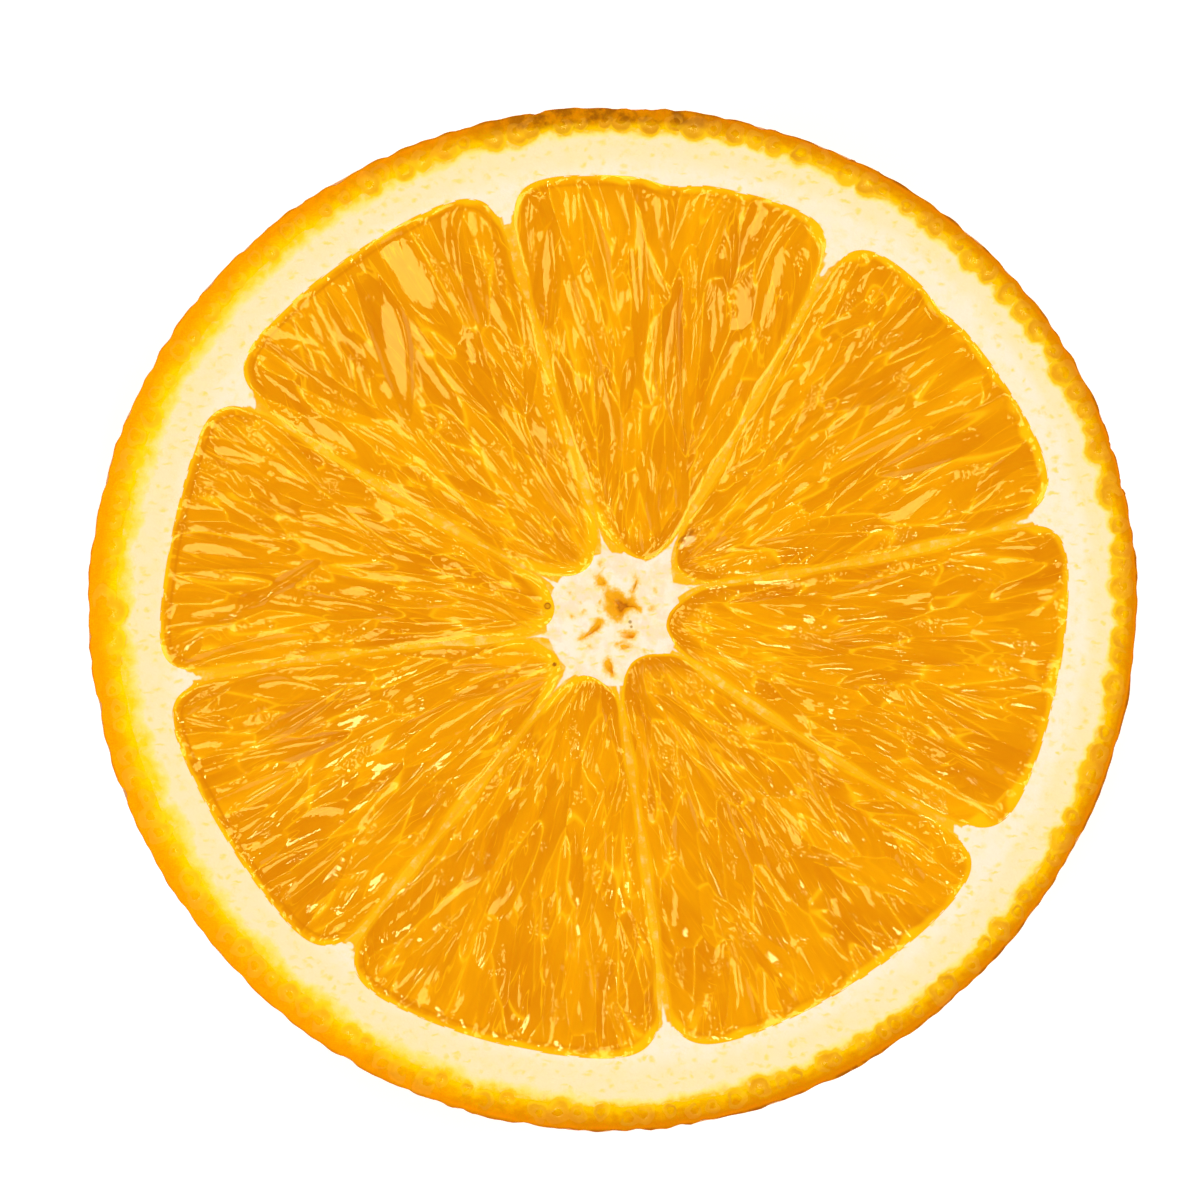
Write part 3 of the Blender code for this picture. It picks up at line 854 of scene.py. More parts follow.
def pith_material():
    """Spongy cream pith with flecks, whiter at the core, and yellow where a wall is thin."""
    material, tree, shader = new_material("pith", {"Roughness": 0.65, "Specular IOR Level": 0.15})
    place = position(tree)
    # The rind's colours here are painted lit on one side and painted shaded on the other.
    section = use_group(tree, RIND_GROUP, {
        "Depth": attribute(tree, "rind_depth"), "Place": place, "Lit": attribute(tree, "sunny")})
    core = attribute(tree, "core")
    amount = times_plus(tree, mask(tree, attribute(tree, "rind_depth"), 5.0, 2.0), 0.35, 0.5)
    amount = times_plus(tree, core, 0.4, amount)
    flecks = use_group(tree, FLECK_GROUP, {"Place": place, "Amount": amount})
    pink = mask(tree, noise(tree, place, 0.9, 3.0, 0.6), 0.42, 0.62)
    core_colour = blend(tree, pink, CORE_WHITE, CORE_PINK)
    colour = blend(tree, core, section.outputs["Color"], core_colour)
    fleck = times(tree, flecks.outputs["Fleck"], section.outputs["Pith"])
    colour = blend(tree, fleck, colour, PITH_FLECK)
    mottle = mask(tree, noise(tree, place, 0.8, 3.0, 0.6), 0.42, 0.68)
    colour = blend(tree, times(tree, mottle, 0.14), colour, ZEST_PALE)
    uneven = maths(tree, 'SUBTRACT', noise(tree, place, 1.4, 3.0), 0.5)
    thin = times_plus(tree, uneven, 0.4, attribute(tree, "thin"))
    streak = use_group(tree, WALL_GROUP, {"Place": place}).outputs["Streak"]
    wall = blend(tree, streak, WALL_YELLOW, WALL_ORANGE)
    star = use_group(tree, STAR_GROUP, {"Place": place}).outputs["White"]
    yellow = maths(tree, 'SUBTRACT', mask(tree, thin, 0.25, 0.7), star, clamp=True)
    colour = blend(tree, yellow, colour, wall)
    stain = times_plus(tree, noise(tree, place, 1.3, 3.0, 0.6), 1.8, -0.95)
    stain = maths(tree, 'ADD', attribute(tree, "amber"), stain)
    halo = times(tree, mask(tree, stain, -0.1, 0.55), 0.75)
    colour = blend(tree, halo, colour, CORE_HALO)
    sunk = maths(tree, 'DIVIDE', attribute(tree, "sunk"), CORE_GAPS[0][1])
    # Painted shade: the gaps' amber darkens with depth.
    hollow = ramp(tree, sunk, ((0.0, CORE_AMBER), (0.6, CORE_AMBER), (1.0, CORE_GAP_SHADE)))
    colour = blend(tree, mask(tree, stain, 0.2, 0.9), colour, hollow)
    flat = vectors(tree, 'MULTIPLY', place, (1.0, 1.0, 0.0))
    for x, y, size in CORE_DOTS:
        reach = vectors(tree, 'DISTANCE', flat, (x, y, 0.0), result=1)
        dot = times(tree, mask(tree, reach, size, size * 0.3), 0.8)
        colour = blend(tree, dot, colour, CORE_DOT)
    tree.links.new(colour, shader.inputs["Base Color"])
    bump(tree, shader, flecks.outputs["Grain"], 0.00007)
    return material


def pulp_material():
    """Wet juice sacs: deep orange, lighter thin skins between them, and a bright outer skin widened by a
    painted glow, with painted shade at the core on one side.
    """
    material, tree, shader = new_material("pulp", {
        "Roughness": 0.06, "IOR": 1.34, "Specular IOR Level": 0.5, "Specular Tint": (1.0, 1.0, 0.36, 1.0),
        "Subsurface Weight": 0.25, "Subsurface Radius": (1.0, 0.6, 0.2), "Subsurface Scale": 0.00025})
    place = position(tree)
    grain = attribute(tree, "grain", "Vector")
    slow = noise(tree, place, 0.16, 2.0)
    streak = noise(tree, stretched(tree, grain, (0.75, 0.09, 1.0)), 1.0, 3.0, 0.55)
    tone = times_plus(tree, attribute(tree, "tone"), 0.25, times(tree, slow, 0.4))
    tone = times_plus(tree, streak, 0.5, tone)
    tone = times_plus(tree, attribute(tree, "rim"), 0.2, tone)
    colour = ramp(tree, tone, ((0.35, PULP_DEEP), (0.6, PULP_BODY), (0.85, PULP_BRIGHT)))
    threads = mask(tree, noise(tree, stretched(tree, grain, (2.6, 0.22, 1.0)), 1.0), 0.55, 0.72)
    colour = blend(tree, times(tree, threads, 0.45), colour, PULP_BRIGHT)
    veins = noise(tree, stretched(tree, grain, (0.8, 0.11, 1.0)), 1.0, distortion=0.4)
    vein = mask(tree, maths(tree, 'ABSOLUTE', maths(tree, 'SUBTRACT', veins, 0.5)), 0.014, 0.002)
    vein = times(tree, vein, mask(tree, noise(tree, grain, 0.3, 1.0), 0.45, 0.6))
    line = maths(tree, 'MAXIMUM', attribute(tree, "crease"), times(tree, vein, 0.7))
    colour = blend(tree, line, colour, PULP_LINE)
    # The dark tint adds painted shade and a dark line, the skin tint a painted glow with the skin's yellow.
    for name, tint in PULP_TINTS:
        colour = blend(tree, attribute(tree, name), colour, tint)
    tree.links.new(colour, shader.inputs["Base Color"])
    shine = times_plus(tree, noise(tree, place, 0.9, 2.0), 0.04, 0.01)
    tree.links.new(shine, shader.inputs["Roughness"])
    bump(tree, shader, noise(tree, stretched(tree, grain, (1.5, 0.4, 1.0)), 1.0), 0.00002)
    return material


# Zest


def pit_places():
    """Pits spread evenly over the whole fruit, on radius 1, with their widths and depths."""
    count = np.arange(PIT_COUNT) + 0.5
    height = 1.0 - 2.0 * count / PIT_COUNT
    turn = count * math.pi * (3.0 - math.sqrt(5.0))
    way = np.column_stack((direction(turn) * np.sqrt(1.0 - height ** 2)[:, None], height))
    way += RNG.normal(scale=0.0085, size=way.shape)
    way /= np.linalg.norm(way, axis=1)[:, None]
    return way, RNG.uniform(*PIT_WIDTH, PIT_COUNT), RNG.uniform(*PIT_DEPTH, PIT_COUNT)


def pit_relief(way):
    """How deep the skin is pitted at points on radius 1, in millimetres."""
    centres, widths, depths = pit_places()
    tree = kdtree.KDTree(PIT_COUNT)
    for number in range(PIT_COUNT):
        tree.insert(centres[number], number)
    tree.balance()
    relief = np.zeros(len(way))
    for i, point in enumerate(way):
        for _, number, distance in tree.find_n(point, 3):
            relief[i] += depths[number] * math.exp(-(distance * RADIUS / widths[number]) ** 2)
    return relief


def lower_half(steps):
    """The lower half of a round mesh of radius 1, open at the cut face."""
    bm = bmesh.new()
    bmesh.ops.create_icosphere(bm, subdivisions=steps, radius=1.0)
    above = [vert for vert in bm.verts if vert.co.z > 1e-4]
    bmesh.ops.delete(bm, geom=above, context='VERTS')
    return bm


def shape_half(bm, side_inset, floor_inset, relief=None):
    """Give a round half the fruit's outline, set in, with a relief in millimetres."""
    mesh = bpy.data.meshes.new("half")
    bm.to_mesh(mesh)
    way = points_of(mesh) * MM
    angle = np.arctan2(way[:, 1], way[:, 0])
    side = (rim_radius(angle) - side_inset(angle)) * INSIDE
    places = np.column_stack((way[:, 0] * side, way[:, 1] * side, way[:, 2] * (CUT_HEIGHT - floor_inset)))
    depth = np.zeros(len(way))
    if relief:
        depth = relief(way)
        swell = SWELL_DEPTH * np.maximum(0.5 + 0.5 * ripples(places, 7.0, 5), 0.0)
        places *= (1.0 - (depth + swell) / RADIUS)[:, None]
    places[:, 2] = np.maximum(places[:, 2] + CUT_HEIGHT, 0.0)
    places[:, :2] -= OFFSET
    place_points(mesh, places)
    bm.clear()
    bm.from_mesh(mesh)
    bpy.data.meshes.remove(mesh)
    return depth


def open_rim(bm):
    """The points round an open mouth, in order."""
    rim = [vert for vert in bm.verts if vert.is_boundary]
    shift = Vector((*OFFSET, 0.0)) * MM
    start = math.radians(RIM_START)
    return sorted(rim, key=lambda vert: (math.atan2(vert.co.y + shift.y, vert.co.x + shift.x)
                                         - start) % math.tau)


def make_zest(skin, edge):
    """Pitted skin outside, a cut edge with fine rows, and a plain hidden inside.

    The first material is the skin's and the second is the cut edge's.
    """
    bm = lower_half(SKIN_STEPS)
    relief = shape_half(bm, lambda angle: 0.0, -REST_SAG, pit_relief)
    outer_count = len(bm.verts)
    outer_rim = open_rim(bm)
    inside = lower_half(SKIN_STEPS - 2)
    shape_half(inside, zest_thickness, ZEST_THICKNESS)
    bmesh.ops.reverse_faces(inside, faces=inside.faces)
    spare = bpy.data.meshes.new("inside")
    inside.to_mesh(spare)
    inside.free()
    bm.from_mesh(spare)
    bpy.data.meshes.remove(spare)
    outer = set(outer_rim)
    inner_rim = [vert for vert in open_rim(bm) if vert not in outer]
    for vert in inner_rim:
        vert.co.z -= HIDDEN_DROP * MM
    outside_faces = len(bm.faces)
    start = np.array([vert.co for vert in outer_rim]) / MM
    angle = np.arctan2(start[:, 1] + OFFSET[1], start[:, 0] + OFFSET[0])
    reach = zest_thickness(angle)
    row = outer_rim
    for step in range(EDGE_ROWS):
        share = (step + EDGE_FIRST) / EDGE_ROWS
        places = start.copy()
        places[:, :2] -= direction(angle) * (reach * share)[:, None]
        places[:, 2] = CUT_HEIGHT + cut_waves(places[:, :2]) * min(1.0, step / 2.0)
        places[:, 2] -= EDGE_DROP * max(0.0, share - EDGE_FLAT) / (1.0 - EDGE_FLAT)
        next_row = ring(bm, places)
        join_rings(bm, row, next_row)
        row = next_row
    middle = np.array([vert.co for vert in row[::2]]) / MM
    middle[:, :2] -= direction(angle[::2]) * EDGE_FOLD[0]
    middle[:, 2] -= EDGE_FOLD[1]
    half_row = ring(bm, middle)
    join_rings(bm, row, half_row)
    join_rings(bm, half_row, inner_rim)
    bm.faces.ensure_lookup_table()
    for face in bm.faces[outside_faces:]:
        face.material_index = 1
    item = new_piece("zest_skin", bm, skin, 50.0, "zest", "zest")
    item.data.materials.append(edge)
    places = points_of(item.data)
    coloured = places[:, 2] > CUT_HEIGHT - EDGE_COLOURED
    depth = np.where(coloured, rind_depth(places[:, :2]), 0.0)
    depth[:outer_count] = 0.0
    pit = np.zeros(len(places))
    pit[:outer_count] = np.clip(relief / PIT_DEPTH[1], 0.0, 1.0)
    store(item.data, rind_depth=depth, pit=pit)
    colour_skin(item.data, places)


def colour_skin(mesh, places):
    """Store how lit the rind is painted, and where its top is dark brown."""
    turn = np.degrees(np.arctan2(places[:, 1], places[:, 0])) - TOP_BROWN_TURN
    below = (CUT_HEIGHT - places[:, 2]) / TOP_BROWN_BELOW
    russet = smooth_step(np.hypot(turn / TOP_BROWN_SPREAD, below), 1.0, 0.4)
    store(mesh, sunny=sunny(places[:, :2]), russet=russet)


def make_glands(material):
    """The oil glands that the knife opened: each a shallow wet cup in a low ring."""
    bm = bmesh.new()
    reaches = []
    tones = []
    dries = []
    turn = even_turns(GLAND_SIDES)
    for middle, radius in zip(GLAND_MIDDLES, GLAND_RADII):
        squash = RNG.uniform(0.85, 1.12)
        spin = RNG.uniform(0.0, math.pi)
        spun = np.array(((math.cos(spin), math.sin(spin)), (-math.sin(spin), math.cos(spin))))
        # Painted light: a gland's colours fade on the side of the rind painted lit.
        tone = RNG.uniform(0.45, 1.0) * (1.0 - 0.85 * sunny(middle[None, :])[0])
        dry = float(RNG.uniform() < GLANDS_DRY)
        level = CUT_HEIGHT + cut_waves(middle[None, :])[0] + GLAND_LIFT
        cup = RNG.normal(0.0, 0.18, 2) * radius
        faded = 0.5 + 0.5 * np.cos(turn - RNG.uniform(0.0, math.tau))
        shades = (tone * (1.0 - GLAND_FADE * faded)).tolist()
        row = None
        for reach, rise in GLAND_PROFILE:
            local = direction(turn) * (radius * reach) * np.array((squash, 1.0 / squash))
            local *= (1.0 + 0.09 * np.cos(3.0 * turn + spin) + 0.06 * np.cos(5.0 * turn))[:, None]
            inward = max(0.0, GLAND_CUP - reach)
            flat = local @ spun + middle + cup * inward
            next_row = level_ring(bm, flat, level + rise - GLAND_EMPTY * dry * inward)
            reaches += [reach] * GLAND_SIDES
            tones += shades
            if row is None:
                close_ring(bm, next_row)
                reaches.append(0.0)
                tones.append(tone)
            else:
                join_rings(bm, row, next_row)
            row = next_row
        close_ring(bm, row)
        reaches.append(GLAND_SKIRT)
        tones.append(tone)
        dries += [dry] * (len(reaches) - len(dries))
    item = new_piece("oil_glands", bm, material, 60.0, "zest")
    places = points_of(item.data)
    store(item.data, reach=reaches, tone=tones, dry=dries, rind_depth=rind_depth(places[:, :2]))
    colour_skin(item.data, places)


# Pith


def smooth_outline(points, steps=6):
    """Points along a smooth closed curve through some others."""
    points = np.array(points)
    before, after = np.roll(points, 1, axis=0), np.roll(points, -1, axis=0)
    beyond = np.roll(points, -2, axis=0)
    rows = []
    for step in range(steps):
        t = step / steps
        rows.append(0.5 * (2.0 * points + (after - before) * t
                           + (2.0 * before - 5.0 * points + 4.0 * after - beyond) * t ** 2
                           + (3.0 * points - before - 3.0 * after + beyond) * t ** 3))
    return np.stack(rows, axis=1).reshape(-1, 2)


def loft(name, rows):
    """A closed cutter through level rows of points, one under the other."""
    bm = bmesh.new()
    rings = [level_ring(bm, flat, height) for flat, height in rows]
    for upper, lower in zip(rings, rings[1:]):
        join_rings(bm, upper, lower)
    close_ring(bm, rings[0])
    close_ring(bm, rings[-1])
    return new_object(name, bm, 30.0)


def make_hollow(number):
    """The room that a segment takes in the pith."""
    x, y = square_path(60, 60)
    rows = [(plan_points(number, x, y, 1.0, WALL_HALF), CUT_HEIGHT + CUTTER_RISE)]
    for angle in SIDE_ANGLES[1:]:
        reach = math.cos(math.radians(angle))
        height = CUT_HEIGHT - PULP_DEPTH * math.sin(math.radians(angle))
        rows.append((plan_points(number, x, y, reach, WALL_HALF), height))
    return loft(f"room_{number}", rows)


def make_core_gap(number):
    """What a gap in the core takes out."""
    points, depth = CORE_GAPS[number]
    line = smooth_outline(points)
    middle = line.mean(axis=0)
    rows = []
    for share in GAP_LEVELS:
        sunk = max(0.0, share)
        size = 1.0 - (1.0 - GAP_POINT) * sunk ** 0.7
        height = CUT_HEIGHT - depth * share + (CUTTER_RISE if share < 0.0 else 0.0)
        rows.append((middle + (line - middle) * size + np.array(GAP_WANDER) * sunk, height))
    return loft(f"gap_{number}", rows)


def pith_edge(turn, overlap):
    """How far out the pith goes at some angles, where it sits in the zest by an overlap."""
    return (rim_radius(turn) - zest_thickness(turn) + overlap) * INSIDE


def pith_form():
    """The pith without its rooms: a level cut face over a round underside."""
    bm = bmesh.new()
    turn = even_turns(PITH_AROUND)
    edge = pith_edge(turn, PITH_TUCK)
    mean = edge.mean()
    level = CUT_HEIGHT - PITH_DROP
    outer = level_ring(bm, direction(turn) * edge[:, None] - OFFSET, level - PITH_BEVEL)
    row = outer
    inner = mean
    while inner > PITH_MIDDLE:
        inner -= PITH_COARSE if PITH_COARSE_PART[0] < inner < PITH_COARSE_PART[1] else PITH_FINE
        count = len(row)
        if inner * math.tau / count < PITH_SPACING:
            count //= 2
        turn = even_turns(count)
        reach = pith_edge(turn, PITH_TUCK) * inner / mean
        flat = direction(turn) * reach[:, None] - OFFSET * inner / mean
        height = level - PITH_BEVEL * max(0.0, 1.0 - (mean - inner) / BEVEL_WIDTH)
        next_row = level_ring(bm, flat, height)
        join_rings(bm, row, next_row)
        row = next_row
    close_ring(bm, row)
    row = outer
    for step in range(1, PITH_ROWS_BELOW):
        below = math.radians(90.0 * step / PITH_ROWS_BELOW)
        count = len(row) // 2 if step in PITH_HALVED else len(row)
        turn = even_turns(count)
        reach = pith_edge(turn, PITH_OVERLAP) * math.cos(below)
        height = CUT_HEIGHT - (CUT_HEIGHT - ZEST_THICKNESS + PITH_OVERLAP) * math.sin(below)
        next_row = level_ring(bm, direction(turn) * reach[:, None] - OFFSET, height)
        join_rings(bm, row, next_row)
        row = next_row
    close_ring(bm, row)
    return bm


def make_pith(material):
    """White layer, core and walls, with room for the pulp and gaps in the core."""
    item = new_piece("pith_body", pith_form(), material, 45.0, "pith", "pith")
    cutters = bpy.data.collections.new("cutters")
    bpy.context.scene.collection.children.link(cutters)
    tools = [make_hollow(number) for number in range(len(WALLS))]
    tools += [make_core_gap(number) for number in range(len(CORE_GAPS))]
    for tool in tools:
        bpy.context.scene.collection.objects.unlink(tool)
        cutters.objects.link(tool)
    cut = item.modifiers.new("room", 'BOOLEAN')
    cut.operation = 'DIFFERENCE'
    cut.operand_type = 'COLLECTION'
    cut.collection = cutters
    cut.solver = 'MANIFOLD'
    bpy.context.view_layer.update()
    mesh = bpy.data.meshes.new_from_object(item.evaluated_get(bpy.context.evaluated_depsgraph_get()))
    item.modifiers.remove(cut)
    item.data = mesh
    for tool in tools:
        bpy.data.objects.remove(tool, do_unlink=True)
    bpy.data.collections.remove(cutters)
    mesh.shade_smooth()
    mesh.set_sharp_from_angle(angle=math.radians(45.0))
    colour_pith(item)


def colour_pith(item):
    """Store what the pith's colours follow, and give its cut face its slight waves."""
    places = points_of(item.data)
    flat = places[:, :2]
    gaps = np.stack([nearest(flat, outline(number, WALL_HALF)) for number in range(len(WALLS))])
    gaps.sort(axis=0)
    thickness = gaps[0] + gaps[1]
    radius = np.hypot(flat[:, 0], flat[:, 1])
    sunk = np.maximum(CUT_HEIGHT - PITH_DROP - places[:, 2], 0.0)
    in_core = radius < 7.0
    yellow_reach = 0.46 * smooth_step(thickness, 1.6, 0.65) - 0.06
    in_wall = smooth_step(yellow_reach - gaps[0], -0.05, 0.05)
    store(item.data, rind_depth=rind_depth(flat), sunny=sunny(flat),
          thin=np.where(radius < CORE_REACH, 1.0, in_wall), core=smooth_step(radius, 12.0, 7.0),
          sunk=np.where(in_core, sunk, 0.0))
    gap_lines = np.concatenate([smooth_outline(points) for points, _ in CORE_GAPS])
    amber = np.where(in_core & (sunk > 0.005), 1.0, np.exp(-nearest(flat, gap_lines) / 0.18))
    for place, size in CORE_STAINS:
        amber = np.maximum(amber, 0.75 * np.exp(-(np.linalg.norm(flat - place, axis=1) / size) ** 2))
    store(item.data, amber=amber)
    near_top = smooth_step(sunk, 3.0, 1.0)
    places[:, 2] += cut_waves(flat) * near_top
    top = sunk < 0.01
    places[top, 2] += 0.01 * ripples(flat[top], 1.6, 9)
    place_points(item.data, places)


# Pulp


def segment_width(number, y):
    """Distance from wall to wall along a segment."""
    ones = np.ones(len(y)) * 0.98
    first = plan_points(number, -ones, y, 1.0, WALL_HALF)
    last = plan_points(number, ones, y, 1.0, WALL_HALF)
    return np.linalg.norm(first - last, axis=1)


def sac_seeds(number, rng):
    """Middles, headings, lengths and widths of the juice sacs on a segment's cut face."""
    widest = segment_width(number, np.array((0.9,)))[0]
    seeds = []
    for _ in range(SAC_TRIES):
        x, y = rng.uniform(-1.0, 1.0), rng.uniform(-1.0, 1.02)
        if rng.uniform() > segment_width(number, np.array((y,)))[0] / widest:
            continue
        ends = np.array((y - 0.03, y + 0.03)).clip(-1, 1)
        pair = plan_points(number, np.array((x, x)), ends, 1.0, WALL_HALF)
        heading = pair[1] - pair[0]
        out = (y + 1.0) / 2.0
        turn = math.atan2(heading[1], heading[0]) + SAC_FEATHER * x + rng.normal(0.0, 0.08 + 0.10 * out)
        width = min(SAC_WIDEST, (0.6 + 1.9 * out ** 0.9) * math.exp(rng.normal(0.0, 0.42)))
        length = max(width * 2.0, rng.uniform(*SAC_LENGTH) * (0.6 + 0.4 * out))
        middle = pair.mean(axis=0)
        clear = True
        for other, other_turn, other_length, other_width in seeds:
            gap = middle - other
            ahead = gap @ (math.cos(other_turn), math.sin(other_turn))
            aside = gap @ (-math.sin(other_turn), math.cos(other_turn))
            size_ahead = (length + other_length) / 5.0
            size_aside = (width + other_width) / 4.2
            if (ahead / size_ahead) ** 2 + (aside / size_aside) ** 2 < 1.15:
                clear = False
                break
        if clear:
            seeds.append((middle, turn, length, width))
    return seeds


def sac_surface(number, places):
    """Height of the sacs over the cut face, and what their colours follow."""
    rng = np.random.default_rng(100 + number)
    best = np.full(len(places), -9.0)
    second = np.full(len(places), -9.0)
    owner = np.zeros(len(places), dtype=int)
    runner = np.zeros(len(places), dtype=int)
    seeds = sac_seeds(number, rng)
    for index, (middle, turn, length, width) in enumerate(seeds):
        ahead = np.array((math.cos(turn), math.sin(turn)))
        aside = np.array((-ahead[1], ahead[0]))
        bow = rng.normal(0.0, SAC_BOW)
        along = (places - middle) @ ahead
        across = (places - middle) @ aside - bow * along ** 2 / 2.0
        share = np.clip(2.0 * along / length, -2.5, 2.5)
        half = width / 2.0 * np.clip(0.8 + 0.25 * share, 0.35, 1.3)
        crown = rng.normal(*SAC_CROWN)
        bulge = rng.uniform(*SAC_BULGE) * width * max(1.0, width / SAC_CUT_WIDTH) ** 1.5
        fall = bulge * (across / half) ** 2 + 0.05 * share ** 2 + 0.04 * share ** 4
        height = crown - fall
        if rng.uniform() < SACS_CUT and width < SAC_CUT_WIDTH:
            height = np.minimum(height, crown - bulge * 0.5 - 0.06 * fall)
        lean = rng.normal(0.0, SAC_LEAN, 2) * min(1.0, SAC_CUT_WIDTH / width)
        height += lean[0] * np.clip(across, -half, half) + 0.4 * lean[1] * np.clip(along, -length, length)
        higher = height > best
        second = np.where(higher, best, np.maximum(second, height))
        runner = np.where(higher, owner, np.where(height >= second, index, runner))
        best = np.where(higher, height, best)
        owner = np.where(higher, index, owner)
    gap = best - second
    hue = rng.uniform(size=len(seeds))
    count = len(seeds)
    pair = np.minimum(owner, runner) * count + np.maximum(owner, runner)
    bond = rng.uniform(size=count * count)[pair]
    crease = np.exp(-(gap / SAC_CREASE) ** 2) * smooth_step(bond, 0.3, 0.8)
    rounded = best + 0.5 * SAC_BLEND * np.exp(-gap / SAC_BLEND)
    return rounded, crease, np.exp(-gap / SAC_RIM) * bond, hue[owner]


def pulp_relief(number, places, grain, edge):
    """Ripples over the sacs: long ones along them, fine threads in patches, and beads at the sides."""
    near_core = smooth_step(grain[:, 1], 14.0, 3.0)
    near_side = smooth_step(edge, 1.6, 0.4)
    long_waves = LONG_WAVES * ripples(grain * np.array((1.0, 0.4)), 2.2, 30 + number)
    patches = ripples(grain * np.array((1.0, 0.5)), 4.5, 50 + number)
    threads = ripples(grain * np.array((1.0, 0.15)), 0.5, 70 + number)
    threads *= THREADS * np.maximum(smooth_step(patches, 0.5, 1.4), 0.6 * near_core)
    near_tip = smooth_step(grain[:, 1], 5.0, 2.0) * CURLED_TIPS[number]
    spots = smooth_step(ripples(places, 3.5, 90 + number) + near_side + near_tip, 1.0, 1.7)
    beads = BEADS * spots * ripples(places, 0.55, 110 + number)
    return long_waves + threads + beads


def pulp_skin_glow(places, along, edge):
    """How yellow the pulp's own skin is near its edge, widened by a painted glow, and how dark the pulp is
    just inside: a dark line near the rind and painted shade at the core.
    """
    angle = np.arctan2(places[:, 1], places[:, 0])
    right = 0.5 + 0.5 * np.cos(angle)
    lit_part = smooth_step(np.cos(angle - math.radians(165.0)), -0.2, 0.6)
    at_rind = smooth_step(along, 26.0, 28.5)
    at_core = smooth_step(along, 3.2, 1.4)
    uneven = ripples(places, 2.8, 12)
    # Painted glow: the yellow skin is wider near the rind on the right and near the core on the lit side.
    width = 0.22 + at_rind * (0.05 + 0.3 * right) * (1.0 + 0.5 * uneven) + at_core * (0.65 * lit_part - 0.05)
    soft = 0.12 + 0.12 * at_rind * right + 0.35 * at_core * lit_part
    strong = 0.5 + 0.3 * np.maximum(at_rind, at_core) + 0.1 * uneven
    skin = smooth_step(edge, width + soft, width - soft) * strong.clip(0.0, 1.0)
    line = at_rind * (1.0 - right) * np.exp(-((edge - 0.7) / 0.1) ** 2)
    # Painted shade at the core, on the side away from the light.
    shade = at_core * (1.0 - lit_part) * smooth_step(edge, 1.6, 0.9)
    return skin, np.maximum(line, 0.7 * shade) * (1.0 - skin)


def pulp_marks(places):
    """Small brown specks, a white torn flake, and the brown edge of that flake."""
    specks = np.zeros(len(places))
    for place, radius, hollow in SPECKS:
        reach = np.linalg.norm(places - place, axis=1)
        inside = smooth_step(reach, radius + 0.1, radius)
        middle = smooth_step(reach, radius, radius - 0.1)
        specks = np.maximum(specks, inside * (1.0 - 0.6 * hollow * middle))
    turn = math.radians(TORN_TURN)
    ahead = (places - TORN_PLACE) @ (math.cos(turn), math.sin(turn)) / TORN_SIZE[0]
    aside = (places - TORN_PLACE) @ (-math.sin(turn), math.cos(turn)) / TORN_SIZE[1]
    ragged = 0.25 * ripples(places, 0.7, 14)
    torn = smooth_step(np.hypot(ahead, aside) + ragged, 1.4, 0.6)
    edge = smooth_step(np.hypot(ahead, aside - 1.1) + ragged, 1.4, 0.8) * (1.0 - torn)
    return np.maximum(0.9 * specks, 0.55 * edge), 0.75 * torn


def under_ceiling(level):
    """Levels whose upper part bends over smoothly, so that no sac is cut off flat."""
    knee = SAC_CEILING / 2.0
    return np.where(level > knee, knee + knee * np.tanh((level - knee) / knee), level)


def make_pulp(number, material):
    """One wedge of pulp, with its juice sacs on the cut face."""
    columns, rows = PULP_GRID
    x, y = np.meshgrid(np.linspace(-1.0, 1.0, columns + 1), np.linspace(-1.0, 1.0, rows + 1))
    x, y = x.ravel(), y.ravel()
    inset = WALL_HALF - PULP_OVERLAP
    flat = plan_points(number, x, y, 1.0, inset)
    edge = nearest(flat, outline(number, inset, 2400))
    height, crease, rim, tone = sac_surface(number, flat)
    across = x * segment_width(number, y.clip(-0.99, 0.99)) / 2.0
    grain = np.column_stack((across + 40.0 * number, (y + 1.0) * 15.0, np.zeros(len(x))))
    height += pulp_relief(number, flat, grain[:, :2], edge)
    inward = smooth_step(edge, 0.0, PULP_MARGIN)
    groove = GROOVE_DEPTH * np.exp(-((edge - GROOVE_PLACE) / GROOVE_WIDTH) ** 2)
    level = height * inward - PULP_DROP - groove
    level = under_ceiling(level + cut_waves(flat))
    top = np.column_stack((flat, CUT_HEIGHT + level))
    bm = bmesh.new()
    verts = ring(bm, top)
    stride = columns + 1
    for j in range(rows):
        for i in range(columns):
            k = j * stride + i
            bm.faces.new((verts[k], verts[k + 1], verts[k + stride + 1], verts[k + stride]))
    grid = np.arange(len(flat)).reshape(rows + 1, stride)
    path = np.concatenate((grid[0, :-1], grid[:-1, -1], grid[-1, :0:-1], grid[:0:-1, 0]))
    row = [verts[k] for k in path]
    side_x, side_y = square_path(columns // 2, rows // 2)
    for angle in SIDE_ANGLES:
        reach = math.cos(math.radians(angle))
        low = CUT_HEIGHT - PULP_DEPTH * math.sin(math.radians(angle))
        next_row = level_ring(bm, plan_points(number, side_x, side_y, reach, inset), low)
        join_rings(bm, row, next_row)
        row = next_row
    close_ring(bm, row)
    item = new_piece(f"pulp_{number + 1}", bm, material, 80.0, "pulp", f"segment_{number + 1}")
    skin, dark = pulp_skin_glow(flat, grain[:, 1], edge)
    specks, torn = pulp_marks(flat)
    extra = len(item.data.vertices) - len(flat)
    stored = {               # on the cut face, and on the sides below it
        "crease": (crease * inward, 0.0), "tone": (tone, 0.5), "rim": (rim * inward, 0.0),
        "skin": (skin, 1.0), "dark": (dark, 0.0), "speck": (specks, 0.0), "torn": (torn, 0.0),
        "grain": (grain, 0.0),
    }
    for name, (values, below) in stored.items():
        sides = np.full((extra, *values.shape[1:]), below)
        store(item.data, **{name: np.concatenate((values, sides))})


# Floor, lights and camera


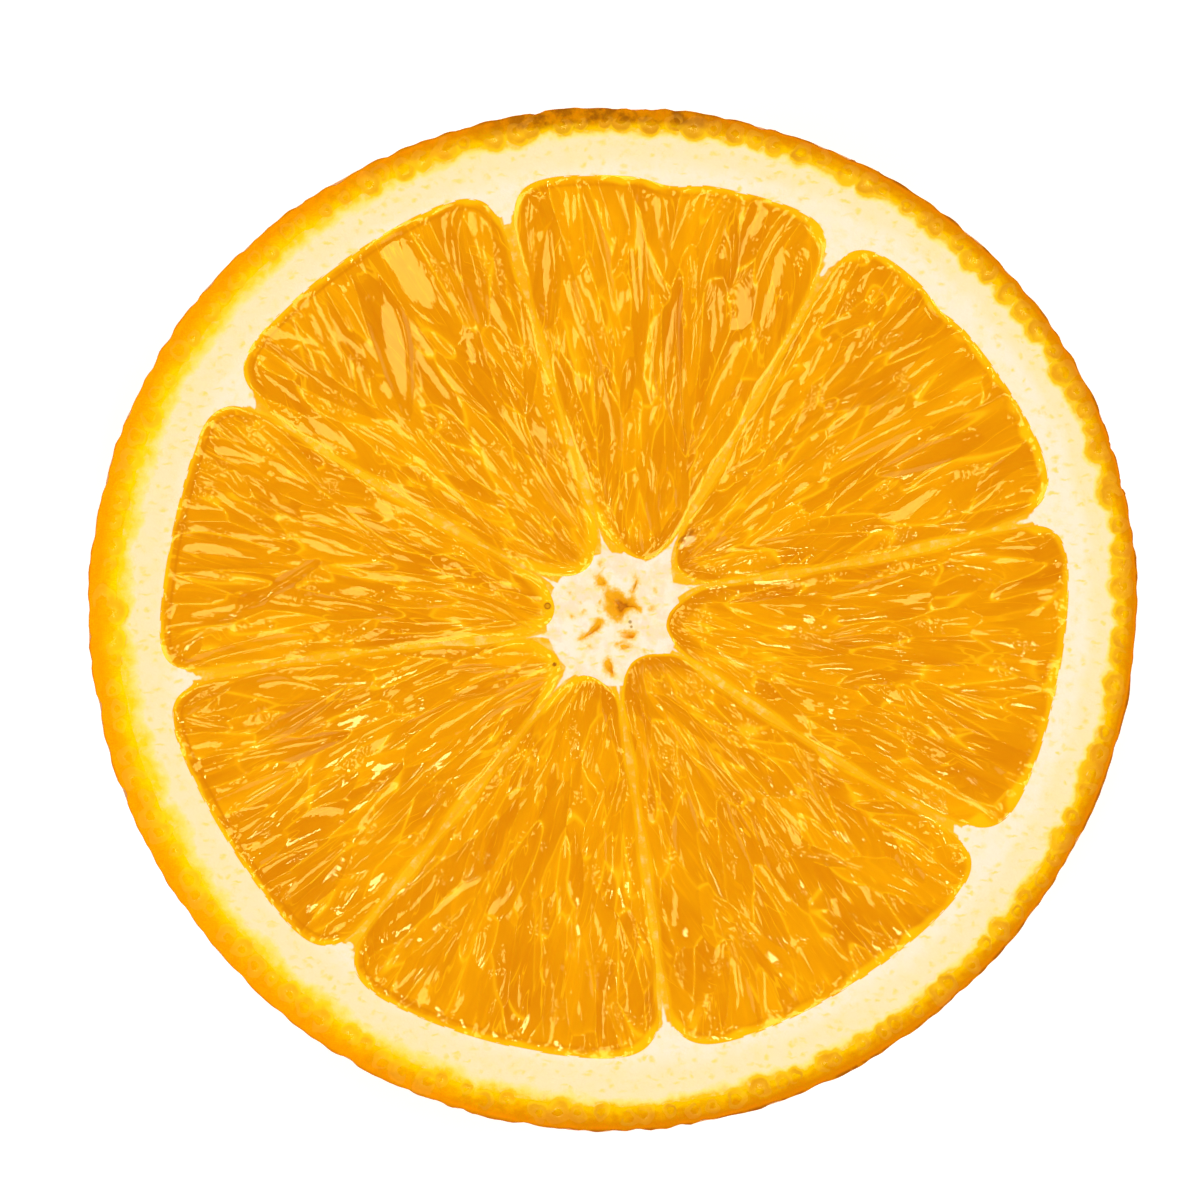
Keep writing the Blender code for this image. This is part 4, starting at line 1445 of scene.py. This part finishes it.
def make_floor():
    """A plain white floor, a little bright of itself as on a light table."""
    bpy.ops.mesh.primitive_plane_add(size=FLOOR_SIZE, location=(0.0, 0.0, -FLOOR_DROP))
    floor = bpy.context.object
    floor.name = "floor"
    material, _, _ = new_material("floor", {
        "Base Color": (0.85, 0.85, 0.85, 1.0), "Roughness": 0.9, "Specular IOR Level": 0.1,
        "Emission Color": (1.0, 1.0, 1.0, 1.0), "Emission Strength": 0.42})
    floor.data.materials.append(material)


def add_softbox(name, place, width, radiance, colour):
    """A round soft light turned to the cut face, as bright as radiance wherever it is seen."""
    data = bpy.data.lights.new(name, 'AREA')
    data.shape = 'DISK'
    data.size = width
    data.color = colour
    data.energy = radiance * math.pi * math.pi * (width / 2.0) ** 2
    item = bpy.data.objects.new(name, data)
    item.location = place
    aim = Vector((0.0, 0.0, CUT_HEIGHT * MM))
    item.rotation_euler = (aim - Vector(place)).to_track_quat('-Z', 'Y').to_euler()
    bpy.context.scene.collection.objects.link(item)


def make_lights():
    """A soft white room, four softboxes overhead for the wet shine and four large ones round it."""
    world = bpy.data.worlds.new("studio")
    world.use_nodes = True
    background = world.node_tree.nodes["Background"]
    background.inputs[0].default_value = (1.0, 1.0, 1.0, 1.0)
    background.inputs[1].default_value = 0.25
    bpy.context.scene.world = world
    for name, place, width, radiance, colour in SOFTBOXES:
        add_softbox(name, place, width, radiance, colour)
    for number in range(SIDE_SOFTBOXES):
        turn = math.radians(SIDE_TURN + 360.0 * number / SIDE_SOFTBOXES)
        place = (SIDE_REACH * math.cos(turn), SIDE_REACH * math.sin(turn), SIDE_HEIGHT)
        add_softbox(f"side_{number}", place, SIDE_WIDTH, SIDE_RADIANCE, WHITE_LAMP)


def make_camera():
    """A long lens straight over the cut face, with the photo's frame."""
    data = bpy.data.cameras.new("camera")
    data.lens = LENS
    data.sensor_width = SENSOR
    camera = bpy.data.objects.new("camera", data)
    distance = CAMERA_FRAME * MM * LENS / SENSOR
    camera.location = (CAMERA_MIDDLE[0] * MM, CAMERA_MIDDLE[1] * MM, CUT_HEIGHT * MM + distance)
    bpy.context.scene.collection.objects.link(camera)
    bpy.context.scene.camera = camera


def build():
    """Make every piece, the floor, the lights and the camera."""
    make_zest(zest_material(), zest_edge_material())
    make_glands(gland_material())
    make_pith(pith_material())
    pulp = pulp_material()
    for number in range(len(SEGMENTS)):
        make_pulp(number, pulp)
    make_floor()
    make_lights()
    make_camera()
    bpy.context.scene.view_settings.view_transform = 'Standard'


build()
